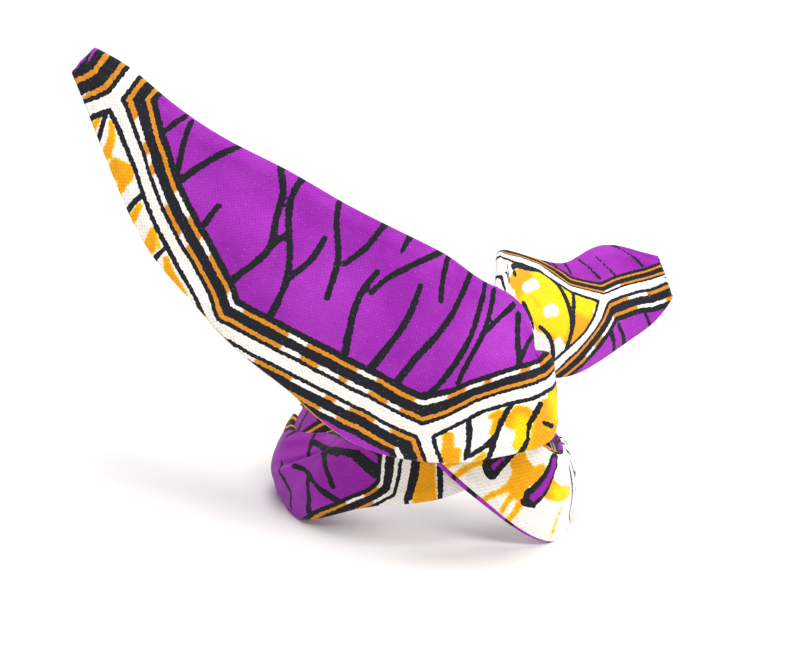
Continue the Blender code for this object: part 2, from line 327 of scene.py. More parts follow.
TWIGS_AND_SHADE = (
    Stroke(F, 0.8, 0.8, ((31, 13), (30, 7.5), (29.6, 4.6))),
    Stroke(F, 0.9, 1.0, ((33.5, 13), (35.5, 9), (38.5, 4.5), (40.2, 1.8))),
    Stroke(F, 0.9, 1.1, ((48, 17.5), (44.8, 11), (42.5, 3.5), (41.8, 1))),
    Stroke(F, 0.8, 0.9, ((54, 3), (54, -3))),
    Stroke(F, 0.9, 1.0, ((60, 20), (64.5, 15.5), (67.5, 9), (71, 3), (70, -4), (68, -11))),
    Stroke(F, 0.9, 1.0, ((66, 22), (68, 14), (72, 9), (77, 3.5), (80, -3), (81, -11))),
    Stroke(F, 0.9, 0.9, ((72.5, 9), (71, 3))),
    Stroke(F, 0.9, 0.9, ((81, 13), (81.5, 7), (79.5, 0))),
    Stroke(F, 1.0, 0.9, ((77, 24), (82, 17), (87, 11), (89, 6), (90.5, 1))),
    Stroke(F, 1.0, 0.8, ((92, 24), (91.5, 17), (89.3, 10.5))),
    Stroke(F, 1.0, 0.8, ((99, 26), (99.6, 20.5))),
    Stroke(F, 1.1, 0.8, ((109, 26), (103.5, 18.5), (100.2, 12.5), (99, 8))),
    Stroke(F, 0.8, 1.1, ((97.3, 13), (97, 6), (99, -1), (102, -9))),
    Stroke(F, 0.8, 1.1, ((109, 16), (110.5, 8.5), (110, 0), (108.5, -9))),
    Stroke(F, 1.0, 0.8, ((112, 26), (114.3, 19.5), (116.5, 15))),
    Stroke(F, 1.0, 1.0, ((121.5, 26), (121.5, 16), (120, 8), (117.5, 1), (115.5, -8))),
    Stroke(F, 0.8, 0.9, ((127.4, 23), (128.3, 15.5), (127.9, 7.5), (126.2, 0), (123.2, -8))),
    Stroke(F, 0.8, 0.75, ((130.6, 22), (131.5, 13.5), (130.9, 9), (129.8, 4), (128.7, -3))),
    Stroke(F, 0.9, 0.8, ((137.5, 20), (133.8, 14.5), (131, 10.5))),
    Stroke(F, 0.9, 0.9, ((139.5, 18), (141, 11), (142, 6.5), (142.5, 2))),
    Stroke(F, 0.8, 0.8, ((146, 15), (143.7, 10.5), (142, 6.5))),
    Stroke(F, 0.7, 1.0, ((14.6, -3.2), (17, -6.6), (20, -12))),
    Stroke(F, 0.8, 0.8, ((36.8, -6.6), (36.4, -10), (36.1, -16))),
    Stroke(F, 0.6, 0.7, ((49.8, -12.2), (49.2, -15), (48.6, -18.5))),
    Stroke(F, 0.8, 0.8, ((133.2, -10.5), (134.8, -15), (135.2, -19.8))),
    Stroke(F, 0.72, 0.65, ((142.8, -3.6), (141, -10), (140.7, -14), (140.2, -20.5))),
    Stroke(F, 0.75, 0.7, ((140.6, -13.4), (138.5, -16.8), (135.2, -20.4))),
    Stroke(F, 0.55, 0.6, ((149, -2), (147.9, -5), (147, -9), (147.2, -11.5), (146.4, -15.6))),
    Stroke(F, 0.6, 0.8, ((150.4, -6.6), (151, -7.6), (152, -7.6))),
    Stroke(F, 1.0, 0.85, ((531, 17.6), (534, 17.7), (538, 16), (541.5, 15), (544, 12.9), (545.8, 9.5),
                           (545.9, 5), (544.9, 0.5), (543.4, -4.4), (541.2, -8.8))),
    Stroke(F, 0.7, 0.8, ((550.4, 7), (548, 3), (545.6, -0.6), (544.4, -3))),
    Stroke(F, 0.9, 0.8, ((529.5, 15.7), (531, 16))),
    Stroke(F, 1.2, 0.5, ((527.4, 7), (528, 4), (528.6, 0))),
    Stroke(F, 0.6, 1.0, ((531, -0.4), (533.8, -3.6), (535.4, -7), (535.8, -11))),
    Stroke(F, 0.7, 0.6, ((520.6, 16.6), (519.7, 13), (520.8, 9.4))),
    Stroke(F, 0.4, 0.4, ((524, 14), (525.6, 16.4), (527.4, 18.8))),
    Stroke(F, 0.5, 0.4, ((522.4, 14), (523.4, 17.4))),
    Stroke(F, 0.5, 0.4, ((548.4, 18), (549.4, 12))),
    Stroke(F, 0.6, 0.5, ((553.2, 17), (552.4, 10))),
    Stroke(F, 0.4, 0.5, ((557.6, 15.5), (560, 11.5), (562.6, 7))),
    Stroke(F, 0.4, 0.5, ((564, 13.5), (566, 10), (568.4, 6))),
    Stroke(F, 0.4, 0.4, ((571.4, 14.6), (575, 11), (579, 5.6))),
    Stroke(F, 0.9, 0.8, ((560.4, -8), (560.8, -16))),
    Stroke(F, 0.8, 1.0, ((563.8, -7), (565.6, -15.5))),
    Stroke(F, 0.6, 0.7, ((574.8, -6), (577, -12.5))),
    Stroke(B, 0.7, 0.8, ((243, 14.5), (240.4, 9.8), (238, 4.6))),
    # Painted shade: this stroke and the next two, on the bulge under the tall wing's lower edge, are partly
    # twigs of the print and partly painted shadow of the wing, drawn broad where that shade falls.
    Stroke(B, 0.8, 1.0, ((240.6, 10.2), (235, 8.2), (229, 5.6), (222, 2))),
    Stroke(B, 2.0, 1.4, ((211.5, -5.2), (214, -2.4), (216.6, 0.4))),
    Stroke(B, 1.1, 0.9, ((216, 0), (221, 2.4), (229, 5.2))),
    Stroke(B, 0.9, 0.8, ((228.6, 4), (227, 1), (225.6, -3), (224.4, -6.4))),
    Stroke(B, 0.7, 0.9, ((240, 1.4), (236, 0.5), (231.4, -3.2), (226.4, -8.2), (221, -12))),
    Stroke(B, 0.8, 0.9, ((233.6, -1.4), (232.8, -6), (232.6, -14))),
    Stroke(B, 0.6, 0.7, ((250, 3.2), (246.4, -0.4), (242.8, -4), (240.6, -10))),
    Stroke(B, 0.9, 0.9, ((197.6, 6), (198.2, 2), (200.3, -4), (201.4, -8), (203.8, -14))),
    Stroke(B, 1.1, 0.8, ((249.5, 14.5), (252, 12.6), (254, 10.2))),
    Stroke(B, 1.0, 0.8, ((258, 16), (261, 8), (259, 0))),
    Stroke(B, 0.8, 1.0, ((254, -1), (256, -6), (255, -14))),
    Stroke(B, 0.9, 0.9, ((270, 6), (266, 0), (267, -8), (264, -14))),
    Stroke(B, 0.85, 0.85, ((194.5, -4), (195.6, -17))),
    Stroke(F, 0.6, 0.5, ((-1, 3.4), (1.2, 0.8), (1, -3))),
    # Painted shade: these three broad ink strokes on the flap's rolled lower edge are partly navy bits of
    # the print and partly painted shade that darkens the strip's shaded underside.
    Stroke(F, 1.4, 1.4, ((437.5, -11), (436, -17))),
    Stroke(F, 1.6, 1.6, ((450, -12), (447.6, -19))),
    Stroke(F, 0.7, 0.7, ((454.5, -12), (454.6, -19))),
)

LEAVES = (
    Stroke(B, 1.5, 2.2, ((428.9, 8.4), (429.1, 4.4), (430.6, -0.6), (432.8, -4.6))),
    Stroke(B, 1.6, 1.0, ((432.2, -5.2), (434.2, -6.6))),
    Stroke(B, 1.0, 2.7, ((440, 6.2), (442.2, 2), (444.6, -2.4), (446, -5.6))),
    Stroke(B, 1.0, 2.0, ((441, 6), (444.4, 2.4), (447.4, -1.2), (448, -3.8))),
)

LEAF_HEARTS = (
    Stroke(B, 0.7, 0.85, ((428.7, 8.2), (428.7, 4.4), (430.1, -0.4), (432.2, -4.2))),
    Stroke(B, 0.3, 0.5, ((443, -0.4), (444.2, -2.4), (445.4, -5))),
    Stroke(B, 0.4, 0.3, ((444.8, 0.6), (446.4, -1.6))),
)

AMBER_STROKES = (
    Stroke(F, 0.7, 1.6, ((15, -6), (15.4, -10))),
    Stroke(F, 0.8, 1.7, ((17.8, -4.2), (20.4, -5.6), (22.6, -9.4))),
    Stroke(F, 2.3, 3.1, ((26.8, -9.6), (29.6, -9))),
    Stroke(F, 1.3, 1.3, ((30.2, -7.2), (31.4, -12))),
    Stroke(F, 0.8, 1.5, ((38, -10.6), (38.4, -15))),
    Stroke(F, 1.1, 1.9, ((44.6, -12.8), (46, -16.5))),
    Stroke(F, 0.5, 0.6, ((44.6, -12.4), (48.4, -14.8))),
    Stroke(F, 1.0, 1.7, ((51.2, -16), (54, -19))),
    Stroke(F, 1.3, 0.9, ((54, -18.4), (60, -20.4))),
    Stroke(F, 1.3, 1.7, ((130.3, -16.2), (131.6, -21.6))),
    Stroke(F, 0.9, 1.2, ((133.2, -19), (133.2, -21.4))),
    Stroke(F, 0.6, 1.4, ((138, -9.2), (140.4, -7.8))),
    Stroke(F, 1.2, 0.8, ((140.2, -8.6), (139.7, -12.8))),
    Stroke(F, 0.8, 0.9, ((139.2, -18.4), (138, -20.6))),
    Stroke(F, 1.8, 2.0, ((144.6, -5.6), (143.6, -8.6))),
    Stroke(F, 1.5, 1.3, ((146, -5), (145.9, -9), (145.8, -13.6))),
    Stroke(F, 2.0, 2.2, ((150.6, -2.6), (149.6, -8), (149, -14))),
    Stroke(F, 2.4, 2.4, ((153.6, -0.4), (153.8, -6), (152.4, -14))),
    Stroke(F, 1.6, 1.3, ((156.6, 0.2), (157.6, -8))),
    Stroke(F, 1.8, 2.6, ((526, 13.6), (529.6, 14.4), (534, 14.6))),
    Stroke(F, 2.4, 1.8, ((534, 14.4), (539, 13.4), (542, 12.2))),
    Stroke(F, 2.6, 3.6, ((528, 10.6), (530, 6), (532.4, 1))),
    Stroke(F, 2.4, 5.6, ((531, 13), (536, 10), (539, 6))),
    Stroke(F, 6.4, 5.0, ((535.4, 6), (536.4, 1), (538.4, -2.6))),
    Stroke(F, 4.6, 3.4, ((541, 9), (542.6, 2), (540.6, -4.6))),
    Stroke(F, 3.6, 4.4, ((547, 9), (549.4, 3.2), (550, -0.6))),
    Stroke(F, 2.4, 2.2, ((553.4, 2), (557, 2.4))),
    Stroke(F, 2.6, 2.4, ((549, -2), (546, -4.6), (544, -7))),
    Stroke(F, 1.6, 1.2, ((517.6, 15.4), (517.4, 12))),
    Stroke(B, 3.3, 3.5, ((199, -2), (199.4, -8), (199.8, -17))),
    Stroke(B, 1.2, 1.2, ((187, -8), (190, -12))),
    Stroke(B, 1.5, 3.0, ((420.6, 0.2), (424, 0), (428, 0.6))),
    Stroke(B, 3.3, 2.8, ((436.2, 0.6), (437, -2.6), (437.6, -5))),
    Stroke(B, 1.3, 2.2, ((431.8, 4.4), (433.6, 0.6))),
    Stroke(B, 1.2, 2.0, ((438.2, 3.8), (439.4, 0))),
    Stroke(B, 1.0, 0.65, ((434.4, -5.4), (435.6, -9.4), (438.2, -17))),
    Stroke(B, 0.9, 0.6, ((437.6, -6.6), (438.6, -9.4), (439.4, -13))),
    Stroke(B, 0.9, 0.7, ((439.4, -5.6), (441.6, -9), (444, -12), (446, -17))),
    Stroke(B, 0.7, 0.9, ((448.6, -5.8), (450.6, -8), (453, -11.4), (455.6, -17))),
    Stroke(B, 0.8, 0.9, ((452, -6.4), (455, -9.8), (457, -12.4), (459, -17))),
    Stroke(B, 0.35, 0.35, ((422.6, -3), (424.4, -7), (425.6, -11.5))),
)

YELLOW_STROKES = (
    Stroke(F, 1.6, 1.8, ((520, 8), (524, 9))),
    Stroke(F, 2.0, 2.6, ((529.6, 8), (531, 4), (534, -1))),
    Stroke(F, 2.6, 5.4, ((535, 9), (538, 6), (538, 1))),
    Stroke(F, 3.4, 3.0, ((541, 12), (543, 3), (539, -3))),
    Stroke(F, 2.8, 2.6, ((549, 6), (554, 2.6), (556.4, 1.6))),
    Stroke(F, 1.6, 1.4, ((549, 2), (552.6, 0))),
    Stroke(F, 1.6, 1.6, ((145.6, -8), (145.8, -13))),
    Stroke(F, 1.6, 2.0, ((153.4, -1), (154.6, -5))),
    Stroke(B, 2.4, 2.2, ((419, 0.2), (424.6, 0))),
)

WHITE_SPOTS = (
    Stroke(F, 1.1, 0.4, ((24.2, -5.6), (24.6, -8.2))),
    Stroke(F, 1.2, 1.5, ((143.6, -11.6), (142.6, -14))),
    Stroke(F, 0.8, 0.9, ((132.6, -15.8), (133, -16.6))),
    Stroke(F, 1.3, 1.6, ((531, 10.8), (536.6, 11.2))),
    Stroke(F, 1.6, 1.9, ((535.6, 2.4), (538.6, 2.6))),
    Stroke(F, 2.0, 1.8, ((537.6, -7.4), (538.6, -9.6))),
    Stroke(F, 1.3, 1.1, ((521.8, 11.4), (524.4, 6.6))),
    Stroke(F, 1.1, 0.8, ((531.6, -4.4), (533.6, -8))),
)


class Copy(NamedTuple):
    """The tall wing's twigs again in cells out of the first view, turned over where a flip is -1."""

    side: Side
    start: float
    stop: float
    along: float
    flip_along: int
    flip_across: int


TWIG_COPIES = (
    Copy(F, 165, 258, 296, -1, 1),
    Copy(F, 202, 314, 178, 1, -1),
    Copy(F, 314, 424, 444, -1, -1),
    Copy(F, 368, 480, 346, 1, 1),
    Copy(F, 482, 518, 392, 1, 1),
    Copy(B, 0, 160, 165, -1, 1),
    Copy(B, 50, 150, 22, 1, -1),
    Copy(B, 160, 200, 90, 1, 1),
    Copy(B, 272, 314, 196, 1, 1),
    Copy(B, 314, 416, 248, 1, -1),
    Copy(B, 470, 600, 596, -1, 1),
)


class Crease(NamedTuple):
    """A soft ridge (or, with a negative height, a dent) in one panel, or in both where side is None."""

    side: Side | None
    along: float
    across: float
    length: float
    width: float
    bearing: float
    height: float


CREASES = (
    Crease(None, 5, 0, 9, 1.1, 6, 0.45),
    Crease(None, 5, -3, 8, 0.9, -4, -0.4),
    Crease(None, 6, 3.6, 8, 0.9, 14, -0.35),
    Crease(F, 26, 3, 22, 3.0, 12, 0.35),
    Crease(F, 58, 17, 26, 3.6, 9, 0.5),
    Crease(F, 60, 9, 26, 4.0, 14, -0.5),
    Crease(F, 96, 17, 22, 4.0, -4, 0.4),
    Crease(F, 98, -8, 26, 5.0, 6, -0.35),
    Crease(F, 128, 8, 16, 2.6, 24, 0.45),
    Crease(F, 137, -3, 14, 2.2, 38, -0.5),
    Crease(F, 144, 8, 10, 1.6, 20, 0.5),
    Crease(F, 148.6, -6, 7, 1.3, 74, 0.6),
    Crease(F, 150.6, -6, 6, 0.8, 80, -0.7),
    Crease(F, 149, 12, 8, 1.5, -10, -0.45),
    Crease(B, 208, 2, 12, 1.6, 20, -0.5),
    Crease(B, 218, 6, 14, 1.8, 24, 0.6),
    Crease(B, 226, -3, 12, 2.0, 14, -0.4),
    Crease(B, 239, 2.1, 10, 1.2, -11, 1.5),
    Crease(B, 238.6, 4.5, 10, 1.0, -11, -1.3),
    Crease(B, 243, -6, 10, 1.8, -30, -0.4),
    Crease(B, 252, 9, 9, 1.6, -18, 0.5),
    Crease(B, 418, 8, 7, 1.2, -24, 0.45),
    Crease(B, 424, 9.2, 7, 1.0, -14, -0.45),
    Crease(B, 432, -4, 16, 3.2, -16, 0.35),
    Crease(B, 448, 2, 12, 2.4, -34, -0.35),
    Crease(F, 522, 14, 8, 1.2, 62, 0.5),
    Crease(F, 525, 8, 9, 1.3, 56, -0.45),
    Crease(F, 537, 12, 9, 2.2, -20, 0.45),
    Crease(F, 548, -4, 12, 2.6, 12, 0.4),
    Crease(F, 567, 6, 12, 2.2, -8, -0.35),
    Crease(None, 581, 2, 6, 0.9, -8, 0.4),
    Crease(None, 581, -2, 6, 0.9, 10, -0.35),
)


class Ripple(NamedTuple):
    """One wave of the cloth's own unevenness, in millimetres and degrees."""

    height: float
    spacing: float
    bearing: float
    phase: float


RIPPLES = (
    Ripple(0.16, 47, 20, 40),
    Ripple(0.12, 31, -35, 150),
    Ripple(0.08, 19, 62, 265),
    Ripple(0.05, 12.5, -12, 80),
    Ripple(0.03, 7.3, 48, 200),
)


class SeamRoll(NamedTuple):
    """How far the seam has rolled round a long edge towards the back panel, in millimetres."""

    along: float
    upper: float
    lower: float


SEAM_ROLLS = (
    SeamRoll(0, 0.0, 0.0),
    SeamRoll(28, 0.2, 0.3),
    SeamRoll(70, 0.0, -0.9),
    SeamRoll(104, 0.0, -0.8),
    SeamRoll(125, 0.0, 0.0),
    SeamRoll(186, 0.0, 0.0),
    SeamRoll(408, 0.0, 0.2),
    SeamRoll(420, 0.5, 0.5),
    SeamRoll(430, 1.2, 1.1),
    SeamRoll(440, 0.8, 1.6),
    SeamRoll(458, 0.0, 1.8),
    SeamRoll(476, 0.0, 0.2),
    SeamRoll(506, 0.4, 0.0),
    SeamRoll(516, 1.3, 0.0),
    SeamRoll(528, 1.3, 0.0),
    SeamRoll(542, 0.4, 0.0),
    SeamRoll(586, 0.0, 0.0),
)


class Density(NamedTuple):
    """How closely the stations lie at a place along the band, against the others."""

    along: float
    density: float


STATION_DENSITY = (
    Density(0, 1.6),
    Density(10, 1.3),
    Density(155, 1.3),
    Density(172, 0.6),
    Density(196, 1.0),
    Density(256, 1.0),
    Density(276, 0.6),
    Density(404, 0.6),
    Density(416, 1.2),
    Density(460, 1.2),
    Density(476, 0.7),
    Density(511, 1.2),
    Density(586, 1.4),
)


def unit(vectors: np.ndarray) -> np.ndarray:
    """Vectors of length one in the same directions."""
    return vectors / np.linalg.norm(vectors, axis=-1, keepdims=True)


def lengths(points: np.ndarray) -> np.ndarray:
    """Measures along a line of points.

    Args:
        points: the points in their order.

    Returns:
        The distance of each from the first, along the line.
    """
    steps = np.linalg.norm(np.diff(points, axis=0), axis=1)
    return np.concatenate([[0.0], np.cumsum(steps)])


def natural_spline(knots: np.ndarray, values: np.ndarray, at: np.ndarray) -> np.ndarray:
    """Smooth curve through rows of values.

    Args:
        knots: where the rows lie.
        values: one row for each knot.
        at: the places to read.

    Returns:
        One row for each place.
    """
    count = len(knots)
    gaps = np.diff(knots)
    matrix = np.eye(count)
    right = np.zeros_like(values)
    for i in range(1, count - 1):
        matrix[i, i - 1 : i + 2] = gaps[i - 1], 2 * (gaps[i - 1] + gaps[i]), gaps[i]
        slope_in = (values[i] - values[i - 1]) / gaps[i - 1]
        slope_out = (values[i + 1] - values[i]) / gaps[i]
        right[i] = 6 * (slope_out - slope_in)
    bend = np.linalg.solve(matrix, right)
    i = np.clip(np.searchsorted(knots, at, side="right") - 1, 0, count - 2)
    gap = gaps[i][:, None]
    before = (at - knots[i])[:, None]
    after = gap - before
    curved = (bend[i] * after**3 + bend[i + 1] * before**3) / (6 * gap)
    straight_in = (values[i] / gap - bend[i] * gap / 6) * after
    straight_out = (values[i + 1] / gap - bend[i + 1] * gap / 6) * before
    return curved + straight_in + straight_out


def linear(hex_colour: str) -> tuple[float, float, float, float]:
    """Turns an sRGB colour into a linear one.

    Args:
        hex_colour: the colour, such as "#9A1FAC".

    Returns:
        Its linear red, green and blue, and 1 for the alpha.
    """
    parts = [int(hex_colour[i : i + 2], 16) / 255 for i in (1, 3, 5)]
    values = [c / 12.92 if c <= 0.04045 else ((c + 0.055) / 1.055) ** 2.4 for c in parts]
    return (values[0], values[1], values[2], 1.0)


def add(tree: bpy.types.NodeTree, kind: str, inputs: dict[Any, Any] | None = None, **settings: Any) -> Any:
    """Adds a node to a tree.

    Args:
        tree: the tree.
        kind: the node's type.
        inputs: what goes into its sockets, by name or number: a value, a socket, or a node for its
            first output.
        settings: the node's own settings.

    Returns:
        The node.
    """
    made = tree.nodes.new(kind)
    for name, value in settings.items():
        setattr(made, name, value)
    for key, value in (inputs or {}).items():
        if isinstance(value, bpy.types.Node):
            value = next(output for output in value.outputs if output.enabled)
        if isinstance(value, bpy.types.NodeSocket):
            tree.links.new(value, made.inputs[key])
        else:
            made.inputs[key].default_value = value
    return made


def blank_material(name: str) -> tuple[bpy.types.Material, bpy.types.NodeTree]:
    """Makes a material with an empty node tree.

    Args:
        name: the material's name.

    Returns:
        The material and its tree.
    """
    made = bpy.data.materials.new(name)
    made.use_nodes = True
    made.node_tree.nodes.clear()
    return made, made.node_tree


def put_in_scene(name: str, data: bpy.types.ID) -> bpy.types.Object:
    """Makes an object and links it to the scene.

    Args:
        name: the object's name.
        data: its mesh, light or camera.

    Returns:
        The object.
    """
    made = bpy.data.objects.new(name, data)
    bpy.context.scene.collection.objects.link(made)
    return made


def segment_distance(
    points: np.ndarray, start: np.ndarray, end: np.ndarray
) -> tuple[np.ndarray, np.ndarray]:
    """How far points lie from a straight piece of line.

    Args:
        points: places, as rows of two.
        start: one end.
        end: the other end.

    Returns:
        The distances, and how far along the piece, from 0 to 1, the nearest place is.
    """
    way = end - start
    share = np.clip((points - start) @ way / (way @ way), 0, 1)
    return np.linalg.norm(points - start - share[:, None] * way, axis=1), share


@dataclass(frozen=True)
class WaxPrint:
    """The print, charted on the cloth."""

    far: float = 9.0  # the most that the distance to a stroke is told
    reach: float = 45.0  # how far a cell goes past the long edges of the cloth
    step: float = 1.5  # from point to point of a smoothed stroke
    between: float = 4.8  # from the middle of a border to halfway between its two orange lines
    rhythm: float = 23.0  # from one white stretch of an orange line to the next, where none are charted
    stretch: float = 6.8  # how long such a stretch is
    line_lag: float = 9.0  # how far along those of the outer line lie
    copied_until: float = 150.0  # the twigs that are repeated start before this place along the tall wing
    copied_above: float = -12.0  # and end above this one across it

    def ladder_cells(self, ladder: Ladder) -> list[Cell]:
        """Works out the cells above and below one stretch of the line that runs along the band.

        Args:
            ladder: the stretch.

        Returns:
            The cells.
        """
        found = []
        line = [(j.along, j.across) for j in ladder.junctions]
        for arm, grounds in ((1, ladder.above), (-1, ladder.below)):
            ends = [i for i, j in enumerate(ladder.junctions) if j.arm == arm]
            for first, last, ground in zip(ends[:-1], ends[1:], grounds):
                corners = line[first : last + 1]
                for junction in (ladder.junctions[last], ladder.junctions[first]):
                    corners.append((junction.along + junction.lean, arm * self.reach))
                found.append(Cell(ladder.side, ground, tuple(corners)))
        return found

    def depth(self, cell: Cell, places: np.ndarray) -> np.ndarray:
        """Measures how far inside a cell places lie.

        Args:
            cell: the cell.
            places: where on the cloth.

        Returns:
            The distance to the cell's outline, negative outside it.
        """
        corners = np.array(cell.corners, float)
        nearest = np.full(len(places), 1e9)
        inside = np.zeros(len(places), bool)
        for start, end in zip(corners, np.roll(corners, -1, axis=0)):
            if np.allclose(start, end):
                continue
            nearest = np.minimum(nearest, segment_distance(places, start, end)[0])
            spans = (start[1] > places[:, 1]) != (end[1] > places[:, 1])
            rise = end[1] - start[1] if end[1] != start[1] else 1e-9
            cut = (end[0] - start[0]) * (places[:, 1] - start[1]) / rise + start[0]
            inside ^= spans & (places[:, 0] < cut)
        return np.where(inside, nearest, -nearest)

    def stroke_distance(self, stroke: Stroke, places: np.ndarray) -> np.ndarray:
        """Measures how far places lie outside a stroke that is smoothed through its points.

        Args:
            stroke: the stroke.
            places: where on the cloth.

        Returns:
            The distances, negative inside the stroke.
        """
        points = np.array(stroke.points, float)
        knots = lengths(points)
        at = np.linspace(0, knots[-1], max(2, int(knots[-1] / self.step) + 1))
        if len(points) > 2:
            points = natural_spline(knots, points, at)
        else:
            points = points[0] + (points[1] - points[0]) * (at / knots[-1])[:, None]
        widths = np.linspace(stroke.start, stroke.end, len(points))
        nearest = np.full(len(places), self.far)
        reach = self.far + max(stroke.start, stroke.end)
        near = np.all((places > points.min(axis=0) - reach) & (places < points.max(axis=0) + reach), axis=1)
        for i in range(len(points) - 1):
            distance, share = segment_distance(places[near], points[i], points[i + 1])
            outside = distance - (widths[i] + (widths[i + 1] - widths[i]) * share)
            nearest[near] = np.minimum(nearest[near], outside)
        return nearest

    def strokes(self, table: tuple[Stroke, ...], side: Side, places: np.ndarray) -> np.ndarray:
        """Measures how far places lie outside the nearest stroke of a table.

        Args:
            table: the strokes.
            side: the panel.
            places: where on its cloth.

        Returns:
            The distances, negative inside a stroke.
        """
        nearest = np.full(len(places), self.far)
        for stroke in table:
            if stroke.side is side:
                nearest = np.minimum(nearest, self.stroke_distance(stroke, places))
        return nearest

    def bareness(self, numbers: np.ndarray, border: np.ndarray, along: np.ndarray) -> np.ndarray:
        """Measures how far places lie outside the white stretches of the orange lines.

        Args:
            numbers: the place of each one's cell in the table of shown cells, or -1.
            border: how far each is from the middle of the border.
            along: how far along the cloth each is.

        Returns:
            The distances along the cloth, negative inside a stretch.
        """
        line = (border > self.between).astype(int)
        found = np.abs((along + self.line_lag * line) % self.rhythm - self.rhythm / 2) - self.stretch / 2
        found[np.isin(numbers, [dash.cell for dash in DASHES])] = self.far
        for dash in DASHES:
            here = (numbers == dash.cell) & (line == dash.line)
            outside = np.maximum(dash.start - along[here], along[here] - dash.stop)
            found[here] = np.minimum(found[here], outside)
        return found

    def copied_twigs(self, side: Side, places: np.ndarray) -> np.ndarray:
        """Measures how far places lie outside the twigs that are repeated from the tall wing.

        Args:
            side: the panel.
            places: where on its cloth.

        Returns:
            The distances, negative inside a twig.
        """
        nearest = np.full(len(places), self.far)
        wing = (twig_and_shade for twig_and_shade in TWIGS_AND_SHADE if twig_and_shade.side is F and twig_and_shade.points[0][0] < self.copied_until)
        own = tuple(twig_and_shade for twig_and_shade in wing if twig_and_shade.points[-1][1] > self.copied_above)
        for copy in TWIG_COPIES:
            if copy.side is not side:
                continue
            here = (places[:, 0] > copy.start) & (places[:, 0] < copy.stop)
            back = (places[here] - (copy.along, 0)) * (copy.flip_along, copy.flip_across)
            nearest[here] = np.minimum(nearest[here], self.strokes(own, F, back))
        return nearest

    def read(self, side: Side, places: np.ndarray) -> dict[str, np.ndarray]:
        """Reads the chart.

        Args:
            side: the panel.
            places: where on its cloth, as rows of millimetres along and across.

        Returns:
            For each place, how far it is from the middle of a cell's border, how far it is outside a white
            stretch of its orange lines, how gold and how pale its cell is, and how far it is outside a twig,
            or a stroke of painted shade charted with the twigs, a leaf, a leaf's heart, an amber stroke, a
            yellow one and a white spot.
        """
        shown = [i for i, c in enumerate(SHOWN_CELLS) if c.side is side]
        cells = [SHOWN_CELLS[i] for i in shown]
        for ladder in LADDERS:
            if ladder.side is side:
                cells += self.ladder_cells(ladder)
        depths = np.array([self.depth(c, places) * c.tight for c in cells])
        owner = depths.argmax(axis=0)
        grounds = np.array([c.ground.value for c in cells])[owner]
        table = np.array(BORDER_WIDTHS)
        width = np.interp(places[:, 0], table[:, 0], table[:, 1 if side is F else 2])
        narrow = np.interp(places[:, 0], table[:, 0], table[:, 3])
        border = (np.maximum(depths.max(axis=0), 0.0) + narrow) / width
        numbers = np.array(shown + [-1] * (len(cells) - len(shown)))[owner]
        found = {
            "border": border,
            "bare": self.bareness(numbers, border, places[:, 0]),
            "gold": (grounds == Ground.GOLD.value).astype(float),
            "pale": (grounds == Ground.PALE.value).astype(float),
        }
        for name, strokes in (
            ("twig_and_shade", TWIGS_AND_SHADE),
            ("leaf", LEAVES),
            ("heart", LEAF_HEARTS),
            ("amber", AMBER_STROKES),
            ("yellow", YELLOW_STROKES),
            ("spot", WHITE_SPOTS),
        ):
            found[name] = self.strokes(strokes, side, places)
        copied = np.where(grounds == Ground.PURPLE.value, self.copied_twigs(side, places), self.far)
        found["twig_and_shade"] = np.minimum(found["twig_and_shade"], copied)
        return found


